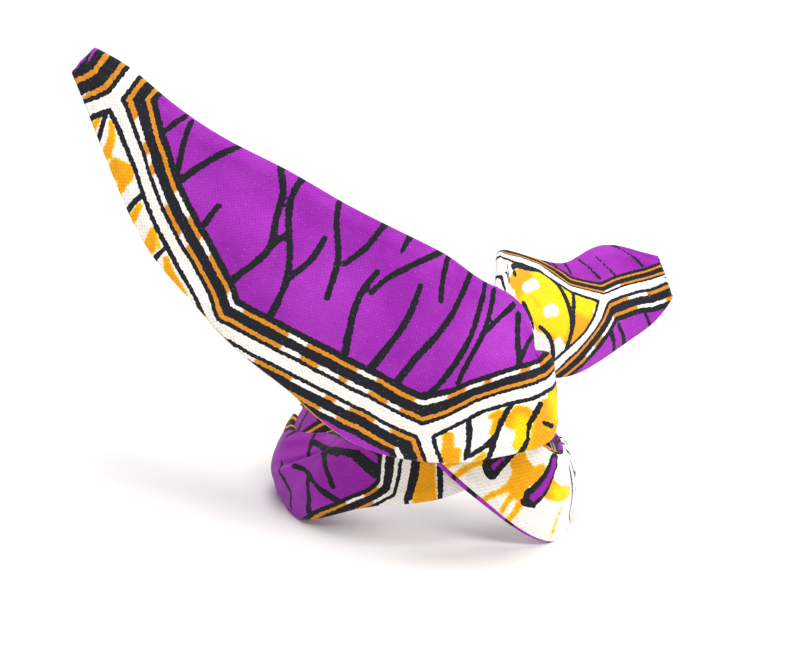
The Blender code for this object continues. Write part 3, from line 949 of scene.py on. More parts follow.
@dataclass(frozen=True)
class PrintedCotton:
    """Plain-weave cotton with a wax print: matt, even grain, line edges stepped by the threads.

    It gives the eye flat strong colour with a fine grain of threads, faint white specks of painted glint,
    and a soft bright edge where it turns.
    """

    name: str
    purple: str = "#9A1FAC"
    purple_light: str = "#B138C4"
    ink: str = "#191A23"
    white: str = "#FBF6F0"
    orange: str = "#F8A90B"
    amber_line: str = "#DD8E22"
    yellow: str = "#FFDC00"
    thread: float = 0.55  # millimetres from one thread to the next
    roughness: float = 0.82
    sheen: float = 0.14
    # Where the lines of a border start and end, from the middle of the white one
    purple_ink: tuple[float, ...] = (1.42, 2.45, 3.55, 6.1, 7.2, 8.9)
    purple_line: tuple[float, ...] = (2.45, 3.55, 6.1, 7.2)
    plain_ink: tuple[float, ...] = (1.45, 2.65)
    deepest: float = 12.0  # past every line of a border
    # How coarse each unevenness is, in millimetres of cloth
    slow_stray: float = 6.0
    quick_stray: float = 0.8
    cloud: float = 26.0
    gold_patch: float = 34.0
    bare_patch: float = 15.0
    spot_spacing: float = 11.0
    slack_thread: float = 2.4
    slub: float = 0.7
    # how coarse the painted glints are: white specks mixed into the colour
    glint_fleck: float = 0.5
    relief_height: float = 0.1  # of the weave and the slubs, in millimetres

    def wander(self, tree: bpy.types.NodeTree, place: Any) -> Any:
        """Adds the way in which the edges of the dye stray.

        Args:
            tree: the material's tree.
            place: the place on the cloth.

        Returns:
            A node with the distance, in millimetres.
        """
        slow = add(tree, "ShaderNodeTexNoise",
                   {"Vector": place, "Scale": UV_UNIT / self.slow_stray, "Detail": 1.0},
                   noise_dimensions="2D")
        quick = add(tree, "ShaderNodeTexNoise",
                    {"Vector": place, "Scale": UV_UNIT / self.quick_stray, "Detail": 0.0},
                    noise_dimensions="2D")
        slow = add(tree, "ShaderNodeMath", {0: slow, 1: 0.5, 2: -0.25}, operation="MULTIPLY_ADD")
        slow = add(tree, "ShaderNodeMath", {0: slow, 1: 0.2}, operation="SUBTRACT")
        return add(tree, "ShaderNodeMath", {0: quick, 1: 0.4, 2: slow}, operation="MULTIPLY_ADD")

    def charted(self, tree: bpy.types.NodeTree, name: str, wander: Any) -> Any:
        """Adds a distance of the chart as the dye has it.

        Args:
            tree: the material's tree.
            name: the distance's name in the chart.
            wander: how far the dye strays.

        Returns:
            A node with the distance, in millimetres.
        """
        exact = add(tree, "ShaderNodeAttribute", attribute_name=name).outputs["Fac"]
        return add(tree, "ShaderNodeMath", {0: exact, 1: wander}, operation="ADD")

    def bars(self, tree: bpy.types.NodeTree, border: Any, edges: tuple[float, ...]) -> Any:
        """Adds a mask of the lines in a cell's border.

        Args:
            tree: the material's tree.
            border: the distance from the middle of the border.
            edges: where each line starts and ends, in order.

        Returns:
            A node that is 1 on the lines and 0 between them.
        """
        share = add(tree, "ShaderNodeMath", {0: border, 1: self.deepest}, operation="DIVIDE")
        ramp = add(tree, "ShaderNodeValToRGB", {0: share})
        ramp.color_ramp.interpolation = "CONSTANT"
        stops = ramp.color_ramp.elements
        stops[0].color = (0, 0, 0, 1)
        stops[1].position = edges[0] / self.deepest
        stops[1].color = (1, 1, 1, 1)
        for i, edge in enumerate(edges[1:]):
            shade = float(i % 2)
            stops.new(edge / self.deepest).color = (shade, shade, shade, 1)
        return ramp

    def purple_cell(self, tree: bpy.types.NodeTree, place: Any, border: Any, bare: Any) -> Any:
        """Adds the colour of a purple cell: dye that took unevenly, in a border of dark and dashed lines.

        Args:
            tree: the material's tree.
            place: the place on the cloth.
            border: the distance from the middle of the border.
            bare: the distance outside a white stretch of an orange line.

        Returns:
            A node with the colour.
        """
        cloud = add(tree, "ShaderNodeTexNoise",
                    {"Vector": place, "Scale": UV_UNIT / self.cloud, "Detail": 3.0}, noise_dimensions="2D")
        share = add(tree, "ShaderNodeMapRange", {0: cloud, 1: 0.35, 2: 0.75})
        dye = add(tree, "ShaderNodeMix", {0: share, 6: linear(self.purple), 7: linear(self.purple_light)},
                  data_type="RGBA")
        white = add(tree, "ShaderNodeMapRange", {0: bare, 1: 0.35, 2: -0.35})
        dash = add(tree, "ShaderNodeMix", {0: white, 6: linear(self.amber_line), 7: linear(self.white)},
                   data_type="RGBA")
        inner = add(tree, "ShaderNodeMath", {0: border, 1: self.purple_ink[-1]}, operation="GREATER_THAN")
        colour = add(tree, "ShaderNodeMix", {0: inner, 6: linear(self.white), 7: dye}, data_type="RGBA")
        lines = self.bars(tree, border, self.purple_line)
        colour = add(tree, "ShaderNodeMix", {0: lines, 6: colour, 7: dash}, data_type="RGBA")
        ink = self.bars(tree, border, self.purple_ink)
        return add(tree, "ShaderNodeMix", {0: ink, 6: colour, 7: linear(self.ink)}, data_type="RGBA")

    def gold_ground(self, tree: bpy.types.NodeTree, place: Any) -> Any:
        """Adds orange and yellow patches with soft rims, and round white spots between them.

        Args:
            tree: the material's tree.
            place: the place on the cloth.

        Returns:
            A node with the colour.
        """
        patches = add(tree, "ShaderNodeTexNoise",
                      {"Vector": place, "Scale": UV_UNIT / self.gold_patch, "Detail": 1.0},
                      noise_dimensions="2D")
        warm = add(tree, "ShaderNodeMapRange", {0: patches, 1: 0.42, 2: 0.56})
        colour = add(tree, "ShaderNodeMix", {0: warm, 6: linear(self.yellow), 7: linear(self.orange)},
                     data_type="RGBA")
        bare = add(tree, "ShaderNodeTexNoise",
                   {"Vector": place, "Scale": UV_UNIT / self.bare_patch, "Detail": 0.6},
                   noise_dimensions="2D")
        share = add(tree, "ShaderNodeMapRange", {0: bare, 1: 0.54, 2: 0.585})
        colour = add(tree, "ShaderNodeMix", {0: share, 6: colour, 7: linear(self.white)}, data_type="RGBA")
        spots = add(tree, "ShaderNodeTexVoronoi",
                    {"Vector": place, "Scale": UV_UNIT / self.spot_spacing, "Randomness": 0.75},
                    voronoi_dimensions="2D")
        share = add(tree, "ShaderNodeMapRange", {0: spots, 1: 0.27, 2: 0.22})
        return add(tree, "ShaderNodeMix", {0: share, 6: colour, 7: linear(self.white)}, data_type="RGBA")

    def pale_ground(self, tree: bpy.types.NodeTree, wander: Any) -> Any:
        """Adds white cloth with the charted amber strokes, yellow where they say, and white spots in them.

        Args:
            tree: the material's tree.
            wander: how far the dye strays.

        Returns:
            A node with the colour.
        """
        amber, yellow, spot = (self.charted(tree, name, wander) for name in ("amber", "yellow", "spot"))
        near = add(tree, "ShaderNodeMapRange", {0: yellow, 1: -0.8, 2: 1.4})
        deep = add(tree, "ShaderNodeMapRange", {0: amber, 1: 0.1, 2: -0.6})
        share = add(tree, "ShaderNodeMath", {0: near, 1: deep}, operation="MULTIPLY")
        dye = add(tree, "ShaderNodeMix", {0: share, 6: linear(self.yellow), 7: linear(self.orange)},
                  data_type="RGBA")
        share = add(tree, "ShaderNodeMapRange", {0: amber, 1: 0.2, 2: -0.25})
        colour = add(tree, "ShaderNodeMix", {0: share, 6: linear(self.white), 7: dye}, data_type="RGBA")
        share = add(tree, "ShaderNodeMapRange", {0: spot, 1: 0.3, 2: -0.4})
        return add(tree, "ShaderNodeMix", {0: share, 6: colour, 7: linear(self.white)}, data_type="RGBA")

    def colour(self, tree: bpy.types.NodeTree, place: Any) -> Any:
        """Adds the whole print.

        Args:
            tree: the material's tree.
            place: the place on the cloth.

        Returns:
            A node with the colour.
        """
        wander = self.wander(tree, place)
        border, bare, leaf, heart, twig_and_shade = (
            self.charted(tree, name, wander) for name in ("border", "bare", "leaf", "heart", "twig_and_shade")
        )
        gold = add(tree, "ShaderNodeAttribute", attribute_name="gold").outputs["Fac"]
        pale = add(tree, "ShaderNodeAttribute", attribute_name="pale").outputs["Fac"]
        is_pale = add(tree, "ShaderNodeMath", {0: pale, 1: 0.5}, operation="GREATER_THAN")
        both = add(tree, "ShaderNodeMath", {0: gold, 1: pale}, operation="ADD")
        plain = add(tree, "ShaderNodeMath", {0: both, 1: 0.5}, operation="GREATER_THAN")
        ground = add(tree, "ShaderNodeMix",
                     {0: is_pale, 6: self.gold_ground(tree, place), 7: self.pale_ground(tree, wander)},
                     data_type="RGBA")
        inner = add(tree, "ShaderNodeMath", {0: border, 1: self.plain_ink[0]}, operation="GREATER_THAN")
        ground = add(tree, "ShaderNodeMix", {0: inner, 6: linear(self.white), 7: ground}, data_type="RGBA")
        ink = self.bars(tree, border, self.plain_ink)
        ground = add(tree, "ShaderNodeMix", {0: ink, 6: ground, 7: linear(self.ink)}, data_type="RGBA")
        purple = self.purple_cell(tree, place, border, bare)
        colour = add(tree, "ShaderNodeMix", {0: plain, 6: purple, 7: ground}, data_type="RGBA")
        leaf = add(tree, "ShaderNodeMath", {0: leaf, 1: 0.0}, operation="LESS_THAN")
        colour = add(tree, "ShaderNodeMix", {0: leaf, 6: colour, 7: linear(self.ink)}, data_type="RGBA")
        heart = add(tree, "ShaderNodeMapRange", {0: heart, 1: 0.15, 2: -0.15})
        colour = add(tree, "ShaderNodeMix", {0: heart, 6: colour, 7: linear(self.purple)}, data_type="RGBA")
        # Ink of the twigs, and of the strokes of painted shade that are charted with them.
        twig_and_shade = add(tree, "ShaderNodeMath", {0: twig_and_shade, 1: -0.06}, operation="LESS_THAN")
        start = add(tree, "ShaderNodeMath", {0: plain, 1: -5.9, 2: 8.0}, operation="MULTIPLY_ADD")
        clear = add(tree, "ShaderNodeMath", {0: border, 1: start}, operation="GREATER_THAN")
        twig_and_shade = add(tree, "ShaderNodeMath", {0: twig_and_shade, 1: clear}, operation="MULTIPLY")
        return add(tree, "ShaderNodeMix", {0: twig_and_shade, 6: colour, 7: linear(self.ink)}, data_type="RGBA")

    def weave(self, tree: bpy.types.NodeTree, place: Any) -> Any:
        """Adds the height of the plain weave.

        Args:
            tree: the material's tree.
            place: the place on the cloth.

        Returns:
            A node with the height, from 0 to 1.
        """
        split = add(tree, "ShaderNodeSeparateXYZ", {0: place})
        uneven = add(tree, "ShaderNodeTexNoise",
                     {"Vector": place, "Scale": UV_UNIT / self.slack_thread, "Detail": 1.0},
                     noise_dimensions="2D")
        turns = math.pi * UV_UNIT / self.thread
        waves = []
        for way in (split.outputs[0], split.outputs[1]):
            phase = add(tree, "ShaderNodeMath", {0: way, 1: turns, 2: uneven}, operation="MULTIPLY_ADD")
            waves.append(add(tree, "ShaderNodeMath", {0: phase}, operation="SINE"))
        over = add(tree, "ShaderNodeMath", {0: waves[0], 1: waves[1]}, operation="MULTIPLY")
        return add(tree, "ShaderNodeMath", {0: over, 1: 0.5, 2: 0.5}, operation="MULTIPLY_ADD")

    def make(self) -> bpy.types.Material:
        """Builds the material.

        Returns:
            The material.
        """
        made, tree = blank_material(self.name)
        place = add(tree, "ShaderNodeUVMap", uv_map="print")
        colour = self.colour(tree, place)
        weave = self.weave(tree, place)
        drawn = add(tree, "ShaderNodeVectorMath", {0: place, 1: (0.35, 1.0, 1.0)}, operation="MULTIPLY")
        slub = add(tree, "ShaderNodeTexNoise",
                   {"Vector": drawn, "Scale": UV_UNIT / self.slub, "Detail": 1.0}, noise_dimensions="2D")
        shade = add(tree, "ShaderNodeMath", {0: weave, 1: 0.26, 2: 0.72}, operation="MULTIPLY_ADD")
        shade = add(tree, "ShaderNodeMath", {0: slub, 1: 0.3, 2: shade}, operation="MULTIPLY_ADD")
        colour = add(tree, "ShaderNodeMix", {0: 1.0, 6: colour, 7: shade},
                     data_type="RGBA", blend_type="MULTIPLY")
        # Painted glints: faint white specks mixed into the colour where the noise peaks, standing for the
        # cloth's sparkle.
        glint_noise = add(tree, "ShaderNodeTexNoise",
                    {"Vector": place, "Scale": UV_UNIT / self.glint_fleck, "Detail": 0.0}, noise_dimensions="2D")
        glint_fleck = add(tree, "ShaderNodeMapRange", {0: glint_noise, 1: 0.8, 2: 0.9, 3: 0.0, 4: 0.1})
        colour = add(tree, "ShaderNodeMix", {0: glint_fleck, 6: colour, 7: linear(self.white)}, data_type="RGBA")
        relief = add(tree, "ShaderNodeMath", {0: slub, 1: 0.6, 2: weave}, operation="MULTIPLY_ADD")
        bump = add(tree, "ShaderNodeBump",
                   {"Height": relief, "Distance": self.relief_height * MM, "Strength": 0.7})
        rough = add(tree, "ShaderNodeMath", {0: slub, 1: 0.12, 2: self.roughness - 0.06},
                    operation="MULTIPLY_ADD")
        shader = add(
            tree,
            "ShaderNodeBsdfPrincipled",
            {
                "Base Color": colour,
                "Roughness": rough,
                "Normal": bump,
                "Specular IOR Level": 0.25,
                "Sheen Weight": self.sheen,
                "Sheen Roughness": 0.45,
            },
        )
        add(tree, "ShaderNodeOutputMaterial", {0: shader})
        return made


@dataclass(frozen=True)
class SewingThread:
    """Spun polyester thread, twisted: dark purple, with a painted highlight of lighter purple on each turn
    of the ply.
    """

    name: str = "spun polyester thread"
    colour: str = "#3A1E4A"
    # painted highlight: the lighter purple laid on each turn of the ply
    light: str = "#5A3370"
    ply: float = 0.5  # millimetres from one turn of the ply to the next, coarser than real so that it shows
    ply_height: float = 0.04

    def make(self) -> bpy.types.Material:
        """Builds the material.

        Returns:
            The material.
        """
        made, tree = blank_material(self.name)
        place = add(tree, "ShaderNodeTexCoord")
        waves = add(
            tree,
            "ShaderNodeTexWave",
            {"Vector": place.outputs["Object"], "Scale": 0.32 / (self.ply * MM), "Distortion": 1.0},
            bands_direction="DIAGONAL",
        )
        turns = waves.outputs["Fac"]
        # Painted highlight: the lighter purple on each turn of the ply stands for its gloss.
        ramp = add(tree, "ShaderNodeMix", {0: turns, 6: linear(self.colour), 7: linear(self.light)},
                   data_type="RGBA")
        bump = add(tree, "ShaderNodeBump",
                   {"Height": turns, "Distance": self.ply_height * MM, "Strength": 0.7})
        shader = add(
            tree,
            "ShaderNodeBsdfPrincipled",
            {"Base Color": ramp.outputs[2], "Roughness": 0.55, "Normal": bump, "Sheen Weight": 0.2},
        )
        add(tree, "ShaderNodeOutputMaterial", {0: shader})
        return made


@dataclass(frozen=True)
class AnnealedWire:
    """Annealed craft wire: soft steel with drawing marks, dull and slightly uneven."""

    name: str = "annealed steel wire"
    colour: str = "#8E8C88"
    dark: str = "#5F5D5A"

    def make(self) -> bpy.types.Material:
        """Builds the material.

        Returns:
            The material.
        """
        made, tree = blank_material(self.name)
        place = add(tree, "ShaderNodeTexCoord").outputs["Object"]
        marks = add(tree, "ShaderNodeTexNoise", {"Vector": place, "Scale": 900.0, "Detail": 3.0})
        colour = add(tree, "ShaderNodeMix", {0: marks, 6: linear(self.dark), 7: linear(self.colour)},
                     data_type="RGBA")
        rough = add(tree, "ShaderNodeMapRange", {0: marks, 3: 0.35, 4: 0.6})
        bump = add(tree, "ShaderNodeBump", {"Height": marks, "Distance": 0.00002, "Strength": 0.5})
        shader = add(
            tree,
            "ShaderNodeBsdfPrincipled",
            {"Base Color": colour.outputs[2], "Metallic": 1.0, "Roughness": rough, "Normal": bump},
        )
        add(tree, "ShaderNodeOutputMaterial", {0: shader})
        return made


@dataclass(frozen=True)
class PaintedBoard:
    """Matt white board for the floor: plain, with the faintest grain."""

    name: str = "matt white board"
    colour: str = "#F7F6F4"

    def make(self) -> bpy.types.Material:
        """Builds the material.

        Returns:
            The material.
        """
        made, tree = blank_material(self.name)
        place = add(tree, "ShaderNodeTexCoord").outputs["Object"]
        grain = add(tree, "ShaderNodeTexNoise", {"Vector": place, "Scale": 300.0, "Detail": 2.0})
        bump = add(tree, "ShaderNodeBump", {"Height": grain, "Distance": 0.0001, "Strength": 0.2})
        shader = add(
            tree,
            "ShaderNodeBsdfPrincipled",
            {"Base Color": linear(self.colour), "Roughness": 0.9, "Normal": bump, "Specular IOR Level": 0.1},
        )
        add(tree, "ShaderNodeOutputMaterial", {0: shader})
        return made


@dataclass
class Band:
    """The middle surface of the tube, read at even steps along it."""

    stations: int = 620
    loop_x: float = 9.4  # the middle of the loop, from the origin, in millimetres
    loop_y: float = 7.3
    crest_softness: float = 0.3
    squaring: float = 0.35

    def __post_init__(self) -> None:
        """Lofts the crest and the directions along, across and out of the cloth."""
        crest = np.array([[s.x + self.loop_x, s.y + self.loop_y, s.z] for s in SECTIONS], float)
        turn = np.radians([s.turn for s in SECTIONS])
        lift = np.radians([s.lift for s in SECTIONS])
        across = np.stack([np.cos(turn) * np.cos(lift), np.sin(turn) * np.cos(lift), np.sin(lift)], axis=1)
        sizes = np.array([[s.upper, s.lower, np.radians(s.fold)] for s in SECTIONS])
        knots = lengths(crest)
        rows = natural_spline(knots, np.hstack([crest, across, sizes]), self.places(knots[-1]))
        self.crest = rows[:, :3]
        self.along = lengths(self.crest)
        self.way = unit(np.gradient(self.crest, axis=0))
        over = unit(rows[:, 3:6])
        self.over = unit(over - self.squaring * (over * self.way).sum(axis=1, keepdims=True) * self.way)
        self.face = unit(np.cross(self.way, self.over))
        self.upper, self.lower, self.fold = rows[:, 6:].T

    def places(self, total: float) -> np.ndarray:
        """Spreads the stations along the crest: closest where the band is widest and best seen.

        Args:
            total: the length of the crest.

        Returns:
            How far along it each station lies.
        """
        table = np.array(STATION_DENSITY, float)
        fine = np.linspace(0, total, 2000)
        density = np.interp(fine, table[:, 0], table[:, 1])
        count = np.concatenate([[0.0], np.cumsum((density[1:] + density[:-1]) / 2)])
        return np.interp(np.linspace(0, count[-1], self.stations), count, fine)

    def middle(self, rows: np.ndarray, across: np.ndarray) -> np.ndarray:
        """Places on the middle surface.

        Args:
            rows: the stations to read, one for each row of places.
            across: how far each place lies from the crest.

        Returns:
            The places, in millimetres.
        """
        cloth = np.where(across > 0, self.upper[rows][:, None], self.lower[rows][:, None])
        rise = cloth * (np.hypot(across / cloth, self.crest_softness) - self.crest_softness)
        fold = self.fold[rows][:, None]
        return (
            self.crest[rows][:, None]
            + (across * np.cos(fold))[..., None] * self.over[rows][:, None]
            + (rise * np.sin(fold))[..., None] * self.face[rows][:, None]
        )

    def normals(self, across: np.ndarray) -> np.ndarray:
        """Finds which way the middle surface faces.

        Args:
            across: how far each place lies from the crest, with a row for each station.

        Returns:
            The directions towards the front panel.
        """
        rows = np.arange(self.stations)
        after = np.minimum(rows + 1, self.stations - 1)
        before = np.maximum(rows - 1, 0)
        along = self.middle(after, across) - self.middle(before, across)
        aside = self.middle(rows, across + 0.05) - self.middle(rows, across - 0.05)
        return unit(np.cross(along, aside))


@dataclass
class ClothTube:
    """The two panels of printed cotton that make the tube, each one sheet with a wall."""

    band: Band
    chart: WaxPrint
    wall: float = 0.4  # millimetres of cloth
    edge_radius: float = 1.0  # how round the tube's long edges are
    seam: float = 0.06  # from the seam to either panel's edge
    wire_inset: float = 3.5
    wire_ridge: float = 0.4
    columns: int = 56
    # How far round a long edge its columns lie, closest at the seam
    edge_steps: tuple[float, ...] = (0.0, 0.04, 0.1, 0.2, 0.32, 0.46, 0.6, 0.74, 0.88, 1.0)
    flat_width: float = 0.054
    flat_length: float = 0.588
    flat_area: float = 0.0174
    closed_end: float = 3.0  # how far from an end the tube narrows
    groove: float = 0.1  # how deep the seam is drawn in, as a share of the edge's height
    groove_width: float = 0.35
    pucker: float = 0.12  # how high the seam's puckers stand
    pucker_spacing: float = 5.4
    pucker_drift: float = 23.0  # how slowly their spacing changes
    pucker_reach: float = 2.2  # how far from a long edge they fade

    def edge_columns(self, roll: np.ndarray, edge: np.ndarray) -> tuple[np.ndarray, np.ndarray, np.ndarray]:
        """Lays a panel's columns round one long edge of the tube, from the seam inwards.

        Args:
            roll: how far the panel reaches round the edge to the other side.
            edge: how far the edge lies from the crest.

        Returns:
            How far each point lies towards the edge, how far out of the middle surface, and how far towards
            the edge on the cloth, with a row for each station.
        """
        radius = self.edge_radius
        quarter = radius * math.pi / 2
        first = self.seam - roll
        last = np.maximum(quarter, first + 0.3)
        turned = first[:, None] + (last - first)[:, None] * np.array(self.edge_steps)
        angle = np.clip(turned / radius, -math.pi / 2, math.pi / 2)
        flat = np.maximum(np.abs(turned) - quarter, 0.0)
        away = edge[:, None] - radius * (1 - np.cos(angle)) - flat
        dip = 1 - self.groove * np.exp(-(((turned - turned[:, :1]) / self.groove_width) ** 2))
        cloth = edge[:, None] - radius * np.minimum(turned, quarter) / quarter
        cloth = cloth - np.maximum(turned - quarter, 0.0)
        return away, radius * np.sin(angle) * dip, cloth

    def layout(self, side: Side) -> tuple[np.ndarray, np.ndarray, np.ndarray]:
        """Lays out a panel's columns from one long edge to the other.

        Args:
            side: the panel.

        Returns:
            How far each point lies across from the crest, how far out of the middle surface, and how far
            across on the cloth, with a row for each station.
        """
        table = np.array(SEAM_ROLLS)
        rolls = natural_spline(table[:, 0], table[:, 1:], self.band.along) * side.value
        low, low_out, low_cloth = self.edge_columns(rolls[:, 1], self.band.lower)
        up, up_out, up_cloth = self.edge_columns(rolls[:, 0], self.band.upper)
        start, stop = -low_cloth[:, -1], up_cloth[:, -1]
        inner = np.linspace(0, 1, self.columns + 1)[1:-1]
        middle = start[:, None] + (stop - start)[:, None] * inner
        inset = np.minimum(middle + self.band.lower[:, None], self.band.upper[:, None] - middle)
        out = self.edge_radius + self.wire_ridge * np.exp(-(((inset - self.wire_inset) / 1.5) ** 2))
        return (
            np.hstack([-low, middle, up[:, ::-1]]),
            np.hstack([low_out, out, up_out[:, ::-1]]),
            np.hstack([-low_cloth, middle, up_cloth[:, ::-1]]),
        )

    def relief(self, side: Side, along: np.ndarray, across: np.ndarray, inset: np.ndarray) -> np.ndarray:
        """How far the cloth stands out of its smooth form, in millimetres.

        Args:
            side: the panel.
            along: how far along the band each point is.
            across: how far across the cloth each point is.
            inset: how far each point is from the nearer long edge.

        Returns:
            The heights, outwards.
        """
        height = np.zeros_like(across)
        for ripple in RIPPLES:
            bearing = math.radians(ripple.bearing * side.value)
            turns = (along * math.cos(bearing) + across * math.sin(bearing)) / ripple.spacing
            height += ripple.height * np.sin(2 * math.pi * turns + math.radians(ripple.phase))
        drift = 1.6 * np.sin(2 * math.pi * along / self.pucker_drift + side.value)
        puckers = np.sin(2 * math.pi * along / self.pucker_spacing + drift)
        height += self.pucker * puckers * np.exp(-inset / self.pucker_reach)
        for crease in CREASES:
            if crease.side not in (None, side):
                continue
            bearing = math.radians(crease.bearing)
            ahead = (along - crease.along) * math.cos(bearing) + (across - crease.across) * math.sin(bearing)
            aside = (across - crease.across) * math.cos(bearing) - (along - crease.along) * math.sin(bearing)
            sign = side.value if crease.side is None else 1
            fade = np.exp(-((ahead / crease.length) ** 2) - (aside / crease.width) ** 2)
            height += sign * crease.height * fade
        return height

    def panel(self, name: str, side: Side, material: bpy.types.Material) -> bpy.types.Object:
        """Builds one panel as a closed sheet and dresses it.

        Args:
            name: the piece's name.
            side: which panel it is.
            material: its cloth.

        Returns:
            The finished piece.
        """
        across, out, cloth = self.layout(side)
        band = self.band
        along = np.broadcast_to(band.along[:, None], across.shape)
        inset = np.minimum(cloth + band.lower[:, None], band.upper[:, None] - cloth)
        height = self.relief(side, along, cloth, np.abs(inset))
        ends = np.minimum(along, band.along[-1] - along)
        close = np.sqrt(np.clip(1 - (1 - np.clip(ends / self.closed_end, 0, 1)) ** 2, 0, 1))
        out = out * (0.5 + 0.5 * close)
        out = out + height * np.clip(inset / 2.0, 0, 1)
        middle = band.middle(np.arange(band.stations), across)
        points = middle + side.value * out[..., None] * band.normals(across)
        points[..., 2] = np.maximum(points[..., 2], 0.0)
        count, wide = across.shape
        corners = (np.arange(count - 1)[:, None] * wide + np.arange(wide - 1)).reshape(-1)
        faces = np.stack([corners, corners + wide, corners + wide + 1, corners + 1], axis=1)
        faces = faces[:, :: side.value]
        mesh = bpy.data.meshes.new(name)
        mesh.from_pydata((points.reshape(-1, 3) * MM).tolist(), [], faces.tolist())
        places = np.stack([along, cloth], axis=2).reshape(-1, 2)
        for key, values in self.chart.read(side, places).items():
            mesh.attributes.new(key, "FLOAT", "POINT").data.foreach_set("value", values.astype(np.float32))
        index = np.zeros(len(mesh.loops), np.int32)
        mesh.loops.foreach_get("vertex_index", index)
        layer = mesh.uv_layers.new(name="print")
        layer.data.foreach_set("uv", (places[index] / UV_UNIT).astype(np.float32).reshape(-1))
        mesh.materials.append(material)
        mesh.shade_smooth()
        piece = put_in_scene(name, mesh)
        wall = piece.modifiers.new("cloth wall", "SOLIDIFY")
        wall.thickness = self.wall * MM
        wall.offset = -1.0
        wall.use_even_offset = False
        settle(piece)
        flatten_below(piece, 0.0)
        return piece

    def build(self, front: bpy.types.Material, back: bpy.types.Material) -> list[bpy.types.Object]:
        """Args:
            front: the cloth of the front panel.
            back: the cloth of the back panel.

        Returns:
            The two pieces.
        """
        made = []
        for name, node, side, material in (
            ("front_cloth", "front_panel", Side.FRONT, front),
            ("back_cloth", "back_panel", Side.BACK, back),
        ):
            piece = self.panel(name, side, material)
            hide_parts(node)
            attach(piece, "root")
            LOG.info("%s: %d faces", name, len(piece.data.polygons))
            made.append(piece)
        return made


def settle(piece: bpy.types.Object) -> None:
    """Makes a piece's modifiers part of its mesh and removes them.

    Args:
        piece: the piece.
    """
    graph = bpy.context.evaluated_depsgraph_get()
    plain = bpy.data.meshes.new_from_object(piece.evaluated_get(graph), depsgraph=graph)
    old = piece.data
    piece.modifiers.clear()
    piece.data = plain
    if old.users == 0:
        (bpy.data.meshes if isinstance(old, bpy.types.Mesh) else bpy.data.curves).remove(old)


def flatten_below(piece: bpy.types.Object, level: float) -> None:
    """Lifts what lies under a level up to it, where the cloth is pressed on the surface.

    Args:
        piece: the piece.
        level: the height, in metres.
    """
    places = np.zeros(len(piece.data.vertices) * 3)
    piece.data.vertices.foreach_get("co", places)
    places[2::3] = np.maximum(places[2::3], level)
    piece.data.vertices.foreach_set("co", places)
    piece.data.update()


